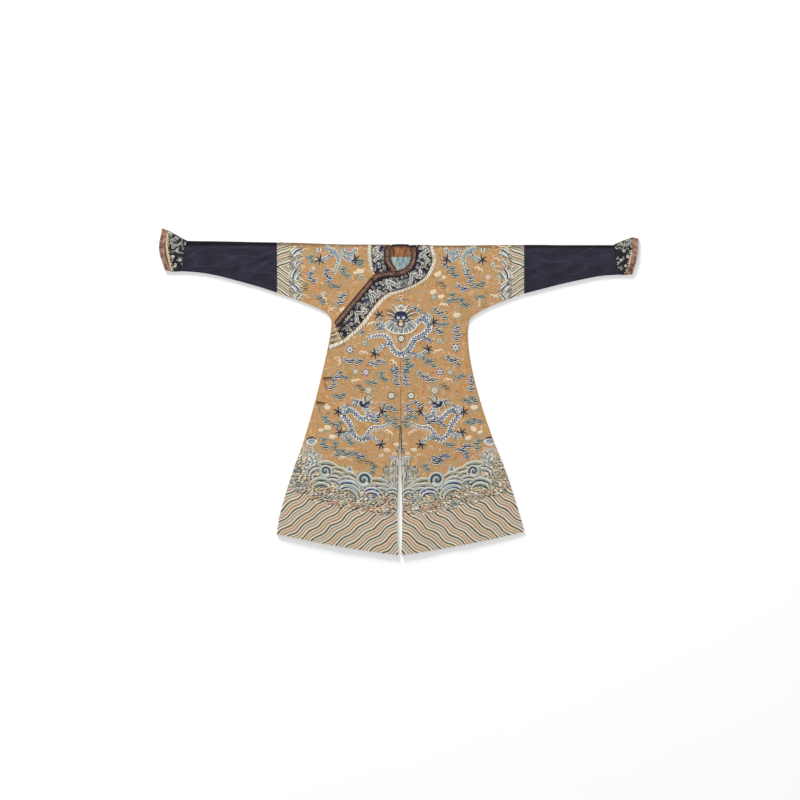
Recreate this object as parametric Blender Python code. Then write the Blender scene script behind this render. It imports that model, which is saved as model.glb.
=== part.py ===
"""A Qing dragon robe laid flat on its back: the cut pieces of the garment as solids.

The body is two loom widths of silk, left and right, each running from the front hem over the shoulder
to the back hem. The right front is an under front. An outer flap, sewn to the left front down the
centre, crosses over it and fastens at the wearer's right side. Blue sleeves and flared hoof-shaped
cuffs carry on from the body, and a dark neckband with a brocade binding edges the neck and the flap.

Plan sizes are millimetres: x outwards from the centre line, and "drop" down from the shoulder fold.
Heights are millimetres above the surface that the robe lies on. +X is the wearer's left.
"""

import math

import bmesh
import bpy

# ---------------------------------------------------------------- driving dimensions, in millimetres

SHOULDER_Y = 672.0  # the shoulder fold's height up the plan, with the plan's middle at the origin
CENTRE_LINE_X = 7.7  # the cuffs flare unevenly, so the centre line is this far from the plan's middle
CLOTH = 1.6  # silk with its lining, one wall
SEAM_GAP = 0.3  # between two pieces that touch or are sewn
FOLD_GAP = 1.6  # clear space inside the garment, away from its seams
SEAM_SLOPE = 90.0  # how far from a closed edge the front rises to that space
LINING = 1.0
BAND = 1.2
BINDING = 2.0

HEM_DROP = 1412.0  # at the centre
HEM_BOW = 7.0  # how far the hem dips below a straight line to its corner
UNDER_FRONT_SHORT = 66.0  # the under front stops this far above the hem
UNDER_FRONT_INSET = 32.0  # and its inner edge stays this far from the centre line

NECK_HALF_WIDTH = 46.0
NECK_WIDEST_DROP = 55.0
NECK_BASE_DROP = 118.0
NECK_FOLD_HALF_WIDTH = 41.0
BACK_NECK_DROP = 9.0
BINDING_WIDTH = 24.0
BACK_BINDING_WIDTH = 14.0
BACK_BINDING_HALF = 38.0
BACK_BINDING_DROP = 3.0
BACK_BINDING_ROWS = 12
FACING_TOP = 17.8  # the facing at the back of the neck, from here down to where the lining starts
FACING_END = 57.0
LINING_END = 136.0
LINING_HALF_WIDTH = 62.0

SIDES = {"right": -1, "left": 1}

# The skirt's vent: each edge's distance from the centre line. Columns: drop, right edge, left edge.
VENT = [
    (820, 0.0, 0.0),
    (930, 4.0, 1.0),
    (1010, 9.0, 3.0),
    (1165, 16.0, 8.0),
    (1300, 16.0, 8.0),
    (1412, 11.0, 4.0),
]

# The side seam from the hem's corner to the armpit. Columns: x, drop.
SIDE_SEAM = {
    "right": [
        (564, 1316), (553, 1240), (532, 1165), (488, 1022), (431, 876), (392, 732), (356, 587),
        (323, 440), (309, 353),
    ],
    "left": [
        (564, 1306), (546, 1240), (522, 1165), (478, 1022), (415, 876), (365, 732), (324, 587),
        (299, 440), (303, 357),
    ],
}

# The underarm seam from the armpit to the blue sleeve. Columns: x, drop.
UNDERARM = {
    "right": [(309, 353), (322, 318), (360, 294), (410, 274), (500, 239), (562, 219)],
    "left": [(303, 357), (316, 333), (346, 312), (419, 275), (500, 244), (562, 223)],
}

# How far the shoulder fold lies below the straight line of the shoulders. Columns: x, drop.
SHOULDER_FOLD = {
    "right": [(0, 0), (340, -1), (562, -4), (980, -11)],
    "left": [(0, 2), (120, 7), (562, 7), (960, 8)],
}

# Rows of a body length, from hem to fold, as places along its edges: 0 hem, 1 armpit, 2 sleeve seam's
# lower end, 3 shoulder fold.
FRONT_ROWS = [0, 0.1, 0.2, 0.31, 0.42, 0.53, 0.64, 0.75, 0.86, 0.94, 1, 1.12, 1.3, 1.5, 1.75, 2]
NECK_ROWS = [2.25, 2.5, 2.6, 2.7, 2.8, 2.9, 3]
BACK_ROWS = [2.85, 2.5, 2, 1.75, 1.5, 1.3, 1.12, 1, 0.86, 0.64, 0.42, 0.2, 0.1, 0]
ARMPIT_PAIR_DROP = 352.0  # the centre line's place that a row through the armpit meets
SLEEVE_PAIR_DROP = 205.0  # and the one through the sleeve seam's lower end
BODY_COLUMNS = 9
FOLD_STEPS = 6
FLAP_ROWS = [0, 0.11, 0.22, 0.33, 0.44, 0.55, 0.66, 0.77, 0.88, 0.95]
FLAP_SLANT_ROWS = 9
FLAP_TOP_DROP = 352.0  # where the flap's slanting edge reaches the right side
FLAP_SIDE_END = 0.985  # as a share of the side seam

# The sleeve and the cuff as sections across them, from the body outwards.
# Columns: x of the top edge, drop of it, x of the bottom edge, drop of it, bow of the middle outwards.
SLEEVE_SECTIONS = {
    "right": [
        (562.3, -4, 562.3, 219, 0), (640, -5, 640, 193, 0), (730, -7, 730, 168, 0),
        (830, -9, 830, 142, 0), (920, -10, 915, 127, 1), (969, -11, 997, 121, 3),
    ],
    "left": [
        (562.3, 7, 562.3, 223, 0), (640, 7, 640, 203, 0), (730, 8, 730, 180, 0),
        (830, 8, 830, 158, 0), (920, 8, 915, 142, 0), (966, 8, 996, 137, -4),
    ],
}
CUFF_SECTIONS = {
    "right": [
        (969.5, -11, 997.5, 121, 3), (1000, -27, 1015, 123, 8), (1032, -46, 1032, 123, 14),
        (1060, -60, 1047, 121, 18),
    ],
    "left": [
        (966.5, 8, 996.5, 137, -4), (998, -6, 1009, 138, 1), (1030, -19, 1021, 138, 5),
        (1056, -27, 1031, 137, 8),
    ],
}
CUFF_BINDING_SECTIONS = {
    "right": [(1060.4, -60, 1047.4, 121, 18), (1085, -68, 1071, 117, 20)],
    "left": [(1056.4, -27, 1031.4, 137, 8), (1083, -21, 1054, 135, 7)],
}

SLEEVE_STATIONS = 20
CUFF_STATIONS = 5
RING_TOP_STEPS = 13
RING_UNDER_STEPS = 4
RING_FOLD_STEPS = 4
TUBE_EDGE_GAP = 1.3  # clear space inside a tube at its folded edges
TUBE_PUFF = 1.6  # how much further its upper layer rises along the middle

# Soft creases in the blue sleeves' upper layer. Columns: x, drop, degrees the crease runs below the
# outward direction, half length, half width, height (negative for a trough).
SLEEVE_CREASES = {
    "right": [
        (640, 40, -24, 75, 17, 3.0), (610, 78, -30, 60, 16, -1.8), (760, 16, 4, 95, 14, 1.9),
        (800, 92, 28, 62, 16, 1.7), (900, 60, 70, 46, 14, 1.5), (690, 140, 14, 70, 15, 1.4),
    ],
    "left": [
        (612, 52, 34, 52, 16, -1.9), (640, 30, 26, 66, 15, 2.6), (745, 24, -3, 90, 14, 1.7),
        (872, 84, -35, 66, 17, -2.2), (838, 116, -33, 62, 16, 2.4), (700, 132, -12, 74, 15, 1.5),
    ],
}

# The brocade binding and the dark neckband beside it, sewn round the neck and along the flap's slanting
# edge: the free edge that the binding covers, and the neckband's outer edge across from it. Here x is
# signed, + towards the wearer's left. Columns: free edge x, drop, outer edge x, drop.
FLAP_BAND = [
    (45, 14, 130, 14), (47, 42, 142, 50), (45, 66, 139, 92), (37, 89, 116, 140), (20, 107, 70, 176),
    (-5, 116, 24, 195), (-35, 120, 2, 203), (-68, 123, -16, 207), (-98, 127, -34, 211),
    (-122, 138, -52, 217), (-143, 160, -73, 227), (-166, 187, -96, 247), (-190, 216, -118, 272),
    (-214, 245, -140, 303), (-238, 274, -166, 338), (-262, 303, -196, 372), (-284, 329, -230, 402),
    (-302, 352, -266, 434),
]
SHOULDER_BAND = [
    (-45, 14, -133, 12), (-47, 42, -133, 44), (-45.5, 64, -129, 76), (-40, 84, -123, 102),
    (-32, 98, -114, 120),
]

# Toggle buttons and the loops that hold them. Here x is signed.
# Columns: name, x, drop, degrees from +X that the loop runs to, its length, what it is sewn on.
TOGGLES = [
    ("neck", -28, 129, 12, 26, "binding"),
    ("collarbone", -128, 151, -80, 32, "binding"),
    ("underarm", -276, 378, 38, 30, "neckband"),
    ("side_upper", -349, 607, 4, 40, "flap"),
    ("side_lower", -380, 717, -6, 40, "flap"),
]
BUTTON_RADIUS = 5.0
BUTTON_NECK_RADIUS = 1.9
BUTTON_STEPS = 12
LOOP_CORD = 2.4
LOOP_WIDTH = 5.2

FINISHES = {  # colour, metallic, roughness
    "yellow_silk": ((0.52, 0.31, 0.14), 0.0, 0.6),
    "blue_silk": ((0.035, 0.032, 0.052), 0.0, 0.55),
    "neckband_silk": ((0.05, 0.045, 0.07), 0.0, 0.6),
    "brocade": ((0.23, 0.12, 0.09), 0.1, 0.6),
    "lining_silk": ((0.24, 0.33, 0.34), 0.0, 0.55),
    "facing_silk": ((0.30, 0.11, 0.045), 0.0, 0.55),
    "gilt_brass": ((0.62, 0.42, 0.16), 1.0, 0.35),
    "loop_cord": ((0.06, 0.03, 0.02), 0.0, 0.7),
}


# ---------------------------------------------------------------- plan curves


def smooth(share):
    """0 below 0, 1 above 1, and an even curve between."""
    share = min(1.0, max(0.0, share))
    return share * share * (3 - 2 * share)


def mix(a, b, share):
    return tuple(p + (q - p) * share for p, q in zip(a, b))


def curved(points, steps=6):
    """A smooth curve through the points, as a closer list of points."""
    made = []
    for i in range(len(points) - 1):
        near = [points[min(max(i + k, 0), len(points) - 1)] for k in (-1, 0, 1, 2)]
        for k in range(steps):
            t = k / steps
            weights = (
                (2 * t * t - t - t**3) / 2,
                (2 - 5 * t * t + 3 * t**3) / 2,
                (t + 4 * t * t - 3 * t**3) / 2,
                (t**3 - t * t) / 2,
            )
            made.append(tuple(sum(w * v for w, v in zip(weights, column)) for column in zip(*near)))
    return made + [tuple(points[-1])]


def along(points, share):
    """The point at that share of the line's length."""
    lengths = [math.dist(a[:2], b[:2]) for a, b in zip(points, points[1:])]
    left = share * sum(lengths)
    for a, b, length in zip(points, points[1:], lengths):
        if left <= length:
            return mix(a, b, left / length)
        left -= length
    return tuple(points[-1])


def table_value(table, key, column=1):
    """The table's column at a value of its first column, between rows in proportion."""
    for low, high in zip(table, table[1:]):
        if key <= high[0]:
            share = (key - low[0]) / (high[0] - low[0])
            return low[column] + (high[column] - low[column]) * min(1.0, max(0.0, share))
    return table[-1][column]


def distance_to(points, x, drop):
    """The plan distance from a place to a line of points."""
    best = math.inf
    for (ax, ay), (bx, by) in zip(points, points[1:]):
        dx, dy = bx - ax, by - ay
        share = ((x - ax) * dx + (drop - ay) * dy) / (dx * dx + dy * dy)
        share = min(1.0, max(0.0, share))
        best = min(best, math.hypot(x - ax - share * dx, drop - ay - share * dy))
    return best


SIDE_CURVE = {side: curved(SIDE_SEAM[side]) for side in SIDES}
UNDERARM_CURVE = {side: curved(UNDERARM[side]) for side in SIDES}
CLOSED_EDGE = {side: SIDE_CURVE[side] + UNDERARM_CURVE[side][1:] for side in SIDES}


def fold_drop(side, x):
    return table_value(SHOULDER_FOLD[side], abs(x))


def outer_edge(side, place):
    """The body's outer edge: the side seam, the underarm and then the sleeve seam."""
    if place <= 1:
        return along(SIDE_CURVE[side], place)
    if place <= 2:
        return along(UNDERARM_CURVE[side], place - 1)
    seam_x, seam_drop = UNDERARM[side][-1]
    return seam_x, seam_drop + (fold_drop(side, seam_x) - seam_drop) * (place - 2)


def vent_edge(side, drop):
    """How far the body's inner edge is from the centre line below the neck."""
    return SEAM_GAP / 2 + table_value(VENT, drop, 1 if side == "right" else 2)


def front_neck(side):
    """The front neckline, from its base on the centre line to the shoulder fold."""
    line = []
    for step in range(9):
        turn = math.radians(90 - step * 90 / 8)
        line.append((
            SEAM_GAP / 2 + NECK_HALF_WIDTH * math.cos(turn),
            NECK_WIDEST_DROP + (NECK_BASE_DROP - NECK_WIDEST_DROP) * math.sin(turn),
        ))
    line.append(((NECK_HALF_WIDTH + NECK_FOLD_HALF_WIDTH) / 2 + 1.5, NECK_WIDEST_DROP / 2))
    line.append((NECK_FOLD_HALF_WIDTH, fold_drop(side, NECK_FOLD_HALF_WIDTH)))
    return line


def back_neck(side):
    """The shallow back neckline, from the centre line to the shoulder fold."""
    fold = (NECK_FOLD_HALF_WIDTH, fold_drop(side, NECK_FOLD_HALF_WIDTH))
    return [(SEAM_GAP / 2, BACK_NECK_DROP), (NECK_FOLD_HALF_WIDTH / 2, BACK_NECK_DROP - 1.5), fold]


def layer_of(side, is_front):
    """A layer's own measures: its hem, its neckline and where in the rows it starts, and its inset."""
    is_under_front = is_front and side == "right"
    return {
        "hem": HEM_DROP - (UNDER_FRONT_SHORT if is_under_front else 0.0),
        "inset": UNDER_FRONT_INSET if is_under_front else 0.0,
        "neck": front_neck(side) if is_front else back_neck(side),
        "neck_from": 2.5 if is_front else 2.85,
    }


def inner_edge(side, place, layer):
    """A body layer's inner edge: the vent and the centre line, and then the neckline."""
    hem, inset, neck, neck_from = (layer[key] for key in ("hem", "inset", "neck", "neck_from"))
    base = neck[0][1]
    if place > neck_from:
        x, drop = along(neck, (place - neck_from) / (3 - neck_from))
        return max(x, inset if drop > NECK_WIDEST_DROP + 33 else 0.0), drop
    if place <= 1:
        drop = hem + (ARMPIT_PAIR_DROP - hem) * place
    elif place <= 2:
        drop = ARMPIT_PAIR_DROP + (SLEEVE_PAIR_DROP - ARMPIT_PAIR_DROP) * (place - 1)
    else:
        drop = SLEEVE_PAIR_DROP + (base - SLEEVE_PAIR_DROP) * (place - 2) / (neck_from - 2)
    return max(vent_edge(side, drop), inset), drop


def hem_bow(place, share):
    """How far a row near the hem dips below a straight line, at a share of its length."""
    return HEM_BOW * max(0.0, 1 - place / 0.4) * 4 * share * (1 - share)


def body_row(side, place, layer, outer_place=None):
    """A row of plan points from the inner edge to the outer edge of a body layer."""
    inner = inner_edge(side, place, layer)
    outer = outer_edge(side, place if outer_place is None else outer_place)
    row = []
    for step in range(BODY_COLUMNS + 1):
        share = step / BODY_COLUMNS
        x, drop = mix(inner, outer, share)
        row.append((x, fold_drop(side, x) if place == 3 else drop + hem_bow(place, share)))
    return row


# ---------------------------------------------------------------- heights of the stacked layers


def inside_gap(side, x, drop):
    """Clear height inside the garment: none to speak of at a closed seam, and more away from it."""
    away = distance_to(CLOSED_EDGE[side], abs(x), drop)
    return SEAM_GAP + (FOLD_GAP - SEAM_GAP) * smooth(away / SEAM_SLOPE)


def under_front(x, drop):
    """Lower face of the right front, which lies under the flap."""
    return CLOTH + inside_gap("right", x, drop)


def flap_under(x, drop):
    """Lower face of the outer flap."""
    return under_front(x, drop) + CLOTH + SEAM_GAP


def left_front(x, drop):
    """Lower face of the left front, which climbs to the flap's height at the centre seam."""
    climb = (1 - smooth(x / 220)) * smooth(drop / NECK_BASE_DROP)
    return CLOTH + inside_gap("left", x, drop) + (CLOTH + SEAM_GAP) * climb


def on_flap(x, drop):
    """Upper face of the outer layer: the flap on the right, the left front on the left."""
    return (flap_under(x, drop) if x < 0 else left_front(x, drop)) + CLOTH


def on_under_front(x, drop):
    return under_front(x, drop) + CLOTH


# ---------------------------------------------------------------- solids


def world(x, drop, height):
    return (CENTRE_LINE_X + x) / 1000, (SHOULDER_Y - drop) / 1000, height / 1000


def finish_of(name):
    made = bpy.data.materials.get(name)
    if made is None:
        colour, metallic, roughness = FINISHES[name]
        made = bpy.data.materials.new(name)
        made.use_nodes = True
        shader = made.node_tree.nodes["Principled BSDF"]
        shader.inputs["Base Color"].default_value = (*colour, 1)
        shader.inputs["Metallic"].default_value = metallic
        shader.inputs["Roughness"].default_value = roughness
    return made


def solid_object(name, mesh_maker, finish):
    """A new object whose closed mesh mesh_maker fills, with its faces pointing out."""
    shape = bmesh.new()
    mesh_maker(shape)
    bmesh.ops.recalc_face_normals(shape, faces=shape.faces)
    mesh = bpy.data.meshes.new(name)
    shape.to_mesh(mesh)
    shape.free()
    mesh.shade_smooth()
    mesh.set_sharp_from_angle(angle=math.radians(40))
    mesh.materials.append(finish_of(finish))
    made = bpy.data.objects.new(name, mesh)
    bpy.context.scene.collection.objects.link(made)
    return made


def wall_between(name, outer, inner, finish, ring=False):
    """A wall from two grids of points that match: its outer face and its inner face."""

    def make(shape):
        faces = [[[shape.verts.new(p) for p in row] for row in grid] for grid in (outer, inner)]
        rows, columns = len(outer), len(outer[0])
        across = range(columns if ring else columns - 1)
        for i in range(rows - 1):
            for j in across:
                k = (j + 1) % columns
                for grid, order in zip(faces, (1, -1)):
                    quad = [grid[i][j], grid[i][k], grid[i + 1][k], grid[i + 1][j]]
                    shape.faces.new(quad[::order])
        for i in (0, rows - 1):
            for j in across:
                k = (j + 1) % columns
                shape.faces.new([faces[0][i][j], faces[0][i][k], faces[1][i][k], faces[1][i][j]])
        if not ring:
            for j in (0, columns - 1):
                for i in range(rows - 1):
                    shape.faces.new([faces[0][i][j], faces[0][i + 1][j], faces[1][i + 1][j], faces[1][i][j]])

    return solid_object(name, make, finish)


def lies_on(surface):
    return lambda x, drop: surface(x, drop) + SEAM_GAP


def laid_sheet(name, rows, under, thickness, finish):
    """A sheet over rows of signed plan points, whose lower face is at under(x, drop)."""
    outer = [[world(x, drop, under(x, drop) + thickness) for x, drop in row] for row in rows]
    inner = [[world(x, drop, under(x, drop)) for x, drop in row] for row in rows]
    return wall_between(name, outer, inner, finish)


def body_length(side):
    """One loom width of silk: up the front, over the shoulder fold and down the back."""
    sign = SIDES[side]
    front, back = layer_of(side, True), layer_of(side, False)
    under = under_front if side == "right" else left_front
    outer, inner = [], []
    short = (HEM_DROP - front["hem"]) / (HEM_DROP - ARMPIT_PAIR_DROP)
    for place in FRONT_ROWS + NECK_ROWS[:-1]:
        outer_place = short + (1 - short) * place if place < 1 else place
        row = body_row(side, place, front, outer_place)
        outer.append([world(sign * x, drop, under(x, drop) + CLOTH) for x, drop in row])
        inner.append([world(sign * x, drop, under(x, drop)) for x, drop in row])

    fold_row = body_row(side, 3, front)
    for step in range(FOLD_STEPS + 1):
        turn = math.radians(90 - step * 180 / FOLD_STEPS)
        for grid, thicker in ((outer, 1), (inner, -1)):
            points = []
            for x, drop in fold_row:
                middle = (under(x, drop) + CLOTH) / 2
                radius = middle if thicker > 0 else middle - CLOTH
                turned = drop + middle - radius * math.cos(turn)
                points.append(world(sign * x, turned, middle + radius * math.sin(turn)))
            grid.append(points)

    for place in BACK_ROWS:
        row = body_row(side, place, back)
        outer.append([world(sign * x, drop, 0.0) for x, drop in row])
        inner.append([world(sign * x, drop, CLOTH) for x, drop in row])
    return wall_between(f"body_{side}", outer, inner, "yellow_silk")


def flap():
    """The outer front, from the hem to the slanting edge that runs from the neck to the right side."""
    side = SIDE_CURVE["right"]
    seam_top = FLAP_TOP_DROP + 10
    ends = []
    for place in FLAP_ROWS:
        drop = HEM_DROP + (seam_top - HEM_DROP) * place
        ends.append(((vent_edge("right", drop), drop), along(side, place * FLAP_SIDE_END), place))
    slant = [along(side, FLAP_SIDE_END)] + [(-x, drop) for x, drop, *_ in FLAP_BAND if x < -1][-2::-1]
    neck_base = (SEAM_GAP / 2, FLAP_BAND[5][1] + 1.0)
    for step in range(FLAP_SLANT_ROWS):
        share = step / (FLAP_SLANT_ROWS - 1)
        ends.append((mix((SEAM_GAP / 2, seam_top), neck_base, share), along(slant, share), 1))
    rows = []
    for inner, outer, place in ends:
        row = []
        for step in range(BODY_COLUMNS + 1):
            share = step / BODY_COLUMNS
            x, drop = mix(inner, outer, share)
            row.append((-x, drop + hem_bow(place, share)))
        rows.append(row)
    return laid_sheet("front_flap", rows, flap_under, CLOTH, "yellow_silk")


def band_rows(table, start, end, columns):
    """Rows across the part of a band between two widths from its free edge; end 0 is its outer edge."""
    rows = []
    for x, drop, outer_x, outer_drop in curved(table, 2):
        width = math.hypot(outer_x - x, outer_drop - drop)
        near, far = start / width, (end or width) / width
        shares = [near + (far - near) * step / columns for step in range(columns + 1)]
        rows.append([mix((x, drop), (outer_x, outer_drop), share) for share in shares])
    return rows


def bands():
    places = (("flap", FLAP_BAND, on_flap), ("shoulder", SHOULDER_BAND, on_under_front))
    for name, table, surface in places:
        under = lies_on(surface)
        rows = band_rows(table, 0.0, BINDING_WIDTH, 3)
        laid_sheet(f"binding_{name}", rows, under, BINDING, "brocade")
        rows = band_rows(table, BINDING_WIDTH + SEAM_GAP, 0.0, 4)
        laid_sheet(f"neckband_{name}", rows, under, BAND, "neckband_silk")
    rows = []
    for step in range(BACK_BINDING_ROWS + 1):
        x = BACK_BINDING_HALF * (2 * step / BACK_BINDING_ROWS - 1)
        top = BACK_BINDING_DROP - 3.0 * smooth(1 - abs(x) / BACK_BINDING_HALF)
        rows.append([(x, top + BACK_BINDING_WIDTH * k / 3) for k in range(4)])
    laid_sheet("binding_back_neck", rows, lies_on(lambda x, drop: CLOTH), BINDING, "brocade")


def neck_linings():
    """What shows through the neck: a facing at the back of the neck, and the lining below it."""
    pieces = (
        ("facing_back_neck", FACING_TOP, FACING_END - SEAM_GAP, 3, "facing_silk"),
        ("lining_back_neck", FACING_END, LINING_END, 5, "lining_silk"),
    )
    for name, top, bottom, steps, finish in pieces:
        rows = [
            [(LINING_HALF_WIDTH * (k / 4 - 1), top + (bottom - top) * step / steps) for k in range(9)]
            for step in range(steps + 1)
        ]
        laid_sheet(name, rows, lies_on(lambda x, drop: CLOTH), LINING, finish)


def crease_height(creases, x, drop):
    """How far the creases lift the cloth at a plan point."""
    total = 0.0
    for crease_x, crease_drop, degrees, length, width, height in creases:
        turn = math.radians(degrees)
        run = (x - crease_x) * math.cos(turn) + (drop - crease_drop) * math.sin(turn)
        off = (drop - crease_drop) * math.cos(turn) - (x - crease_x) * math.sin(turn)
        total += height * smooth(1.35 - abs(run) / length) * math.exp(-((off / width) ** 2))
    return total


def tube_section(section, puff, creases=(), extra=0.0):
    """The outer and inner ring of a flattened tube across one section, as plan points with heights."""
    top = section[:2]
    bottom = section[2:4]
    bow = section[4]
    length = math.dist(top, bottom)
    height = 2 * CLOTH + TUBE_EDGE_GAP + extra

    def place(share):
        x, drop = mix(top, bottom, share)
        return x + bow * math.sin(math.pi * share) ** 1.5, drop

    rings = []
    for radius, floor in ((height / 2, 0.0), (height / 2 - CLOTH - extra / 2, CLOTH)):
        inset = height / 2 / length
        ring = []
        for step in range(RING_UNDER_STEPS + 1):
            x, drop = place(1 - inset - (1 - 2 * inset) * step / RING_UNDER_STEPS)
            ring.append((x, drop, floor))
        for step in range(1, RING_FOLD_STEPS):
            turn = math.pi * step / RING_FOLD_STEPS
            x, drop = place(inset - radius * math.sin(turn) / length)
            ring.append((x, drop, height / 2 - radius * math.cos(turn)))
        for step in range(RING_TOP_STEPS + 1):
            share = step / RING_TOP_STEPS
            x, drop = place(inset + (1 - 2 * inset) * share)
            lift = puff * math.sin(math.pi * share) ** 0.7 + crease_height(creases, x, drop) * smooth(
                min(share, 1 - share) * length / 34
            )
            ring.append((x, drop, height / 2 + radius + max(lift, 0.0)))
        for step in range(1, RING_FOLD_STEPS):
            turn = math.pi * step / RING_FOLD_STEPS
            x, drop = place(1 - inset + radius * math.sin(turn) / length)
            ring.append((x, drop, height / 2 + radius * math.cos(turn)))
        rings.append(ring)
    return rings


def laid_tube(name, side, sections, stations, finish, puff, creases=(), extra=0.0):
    """A flattened tube through its sections, open at both ends."""
    curve = curved(sections, 8)
    outer, inner = [], []
    for station in range(stations + 1):
        share = station / stations
        fade = smooth(share * stations / 3) * smooth((1 - share) * stations / 2) if creases else 1.0
        faded = [(*c[:5], c[5] * fade) for c in creases]
        rings = tube_section(along(curve, share), puff, faded, extra)
        for grid, ring in zip((outer, inner), rings):
            grid.append([world(SIDES[side] * x, drop, height) for x, drop, height in ring])
    return wall_between(name, outer, inner, finish, ring=True)


def sleeves():
    for side in SIDES:
        laid_tube(
            f"sleeve_{side}", side, SLEEVE_SECTIONS[side], SLEEVE_STATIONS, "blue_silk", TUBE_PUFF,
            SLEEVE_CREASES[side],
        )
        laid_tube(f"cuff_{side}", side, CUFF_SECTIONS[side], CUFF_STATIONS, "neckband_silk", TUBE_PUFF)
        laid_tube(
            f"cuff_binding_{side}", side, CUFF_BINDING_SECTIONS[side], 2, "brocade", TUBE_PUFF, extra=0.5
        )


def button(name, x, drop, base):
    """A turned ball button on a stem, standing on the cloth at that height."""
    stem = LOOP_CORD + 1.0
    ball_centre = base + stem + BUTTON_RADIUS * 0.85
    profile = [(BUTTON_NECK_RADIUS, base)]
    for step in range(7):
        turn = math.radians(-66 + step * 156 / 6)
        profile.append((BUTTON_RADIUS * math.cos(turn), ball_centre + BUTTON_RADIUS * math.sin(turn)))

    def make(shape):
        rings = []
        for radius, height in profile[:-1]:
            rings.append([
                shape.verts.new(world(
                    x + radius * math.cos(2 * math.pi * k / BUTTON_STEPS),
                    drop + radius * math.sin(2 * math.pi * k / BUTTON_STEPS),
                    height,
                ))
                for k in range(BUTTON_STEPS)
            ])
        for low, high in zip(rings, rings[1:]):
            for k in range(BUTTON_STEPS):
                j = (k + 1) % BUTTON_STEPS
                shape.faces.new([low[k], low[j], high[j], high[k]])
        shape.faces.new(rings[0])
        tip = shape.verts.new(world(x, drop, profile[-1][1]))
        for k in range(BUTTON_STEPS):
            shape.faces.new([rings[-1][k], rings[-1][(k + 1) % BUTTON_STEPS], tip])

    return solid_object(f"button_{name}", make, "gilt_brass")


def loop(name, x, drop, degrees, length, surface):
    """A doubled cord: a ring round the button's stem that runs on as a strip sewn to the cloth."""
    turn = math.radians(degrees)
    inner_radius = BUTTON_NECK_RADIUS + 0.5
    outer_radius = inner_radius + LOOP_CORD
    half = LOOP_WIDTH / 2
    spread = math.asin(half / outer_radius)
    steps = 12
    outline, hole = [], []
    for k in range(steps + 1):
        a = spread + (2 * math.pi - 2 * spread) * k / steps
        outline.append((outer_radius * math.cos(a), outer_radius * math.sin(a)))
        b = 2 * math.pi * k / steps
        hole.append((inner_radius * math.cos(b), inner_radius * math.sin(b)))
    start = outer_radius * math.cos(spread)

    def placed(point, lift):
        px = x + point[0] * math.cos(turn) + point[1] * math.sin(turn)
        pd = drop - point[0] * math.sin(turn) + point[1] * math.cos(turn)
        return world(px, pd, surface(px, pd) + lift)

    def make(shape):
        low, high = SEAM_GAP, SEAM_GAP + LOOP_CORD
        levels = (low, high)
        ring_out = [[shape.verts.new(placed(p, z)) for p in outline] for z in levels]
        ring_in = [[shape.verts.new(placed(p, z)) for p in hole[:-1]] for z in levels]
        for k in range(steps):
            j = (k + 1) % steps
            for z in (0, 1):
                shape.faces.new([ring_out[z][k], ring_out[z][k + 1], ring_in[z][j], ring_in[z][k]])
            shape.faces.new([ring_out[0][k], ring_out[0][k + 1], ring_out[1][k + 1], ring_out[1][k]])
            shape.faces.new([ring_in[0][k], ring_in[0][j], ring_in[1][j], ring_in[1][k]])
        last = [[ring_out[z][0], ring_out[z][-1]] for z in (0, 1)]
        for z in (0, 1):
            shape.faces.new([ring_out[z][0], ring_in[z][0], ring_out[z][-1]])
        parts = 4
        for step in range(1, parts + 1):
            reach = start + (length - start) * step / parts
            narrow = half * (1 - 0.25 * (step == parts))
            here = [[shape.verts.new(placed((reach, s * narrow), z)) for s in (1, -1)] for z in levels]
            for z in (0, 1):
                shape.faces.new([last[z][0], last[z][1], here[z][1], here[z][0]])
            for s in (0, 1):
                shape.faces.new([last[0][s], here[0][s], here[1][s], last[1][s]])
            last = here
        shape.faces.new([last[0][0], last[0][1], last[1][1], last[1][0]])

    return solid_object(f"loop_{name}", make, "loop_cord")


def toggles():
    carriers = {"binding": SEAM_GAP + BINDING, "neckband": SEAM_GAP + BAND, "flap": 0.0}
    for name, x, drop, degrees, length, carrier in TOGGLES:
        surface = lambda px, pd, lift=carriers[carrier]: on_flap(px, pd) + lift
        button(name, x, drop, surface(x, drop) + SEAM_GAP)
        loop(name, x, drop, degrees, length, surface)


def main():
    for old in list(bpy.data.objects):
        bpy.data.objects.remove(old)
    for side in SIDES:
        body_length(side)
    flap()
    neck_linings()
    bands()
    sleeves()
    toggles()


main()
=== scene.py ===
"""A Qing dragon robe of gold silk, laid flat: its cloth, its embroidery and its fastenings.

Plan places are millimetres, as a maker would chalk them on the cloth: x from the centre line, + towards
the wearer's left, and "drop" down from the shoulder fold. Heights are millimetres above the cloth.
"""

import cmath
import math
import random

import bmesh
import bpy
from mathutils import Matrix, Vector
from mathutils.bvhtree import BVHTree
from mathutils.kdtree import KDTree

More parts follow.
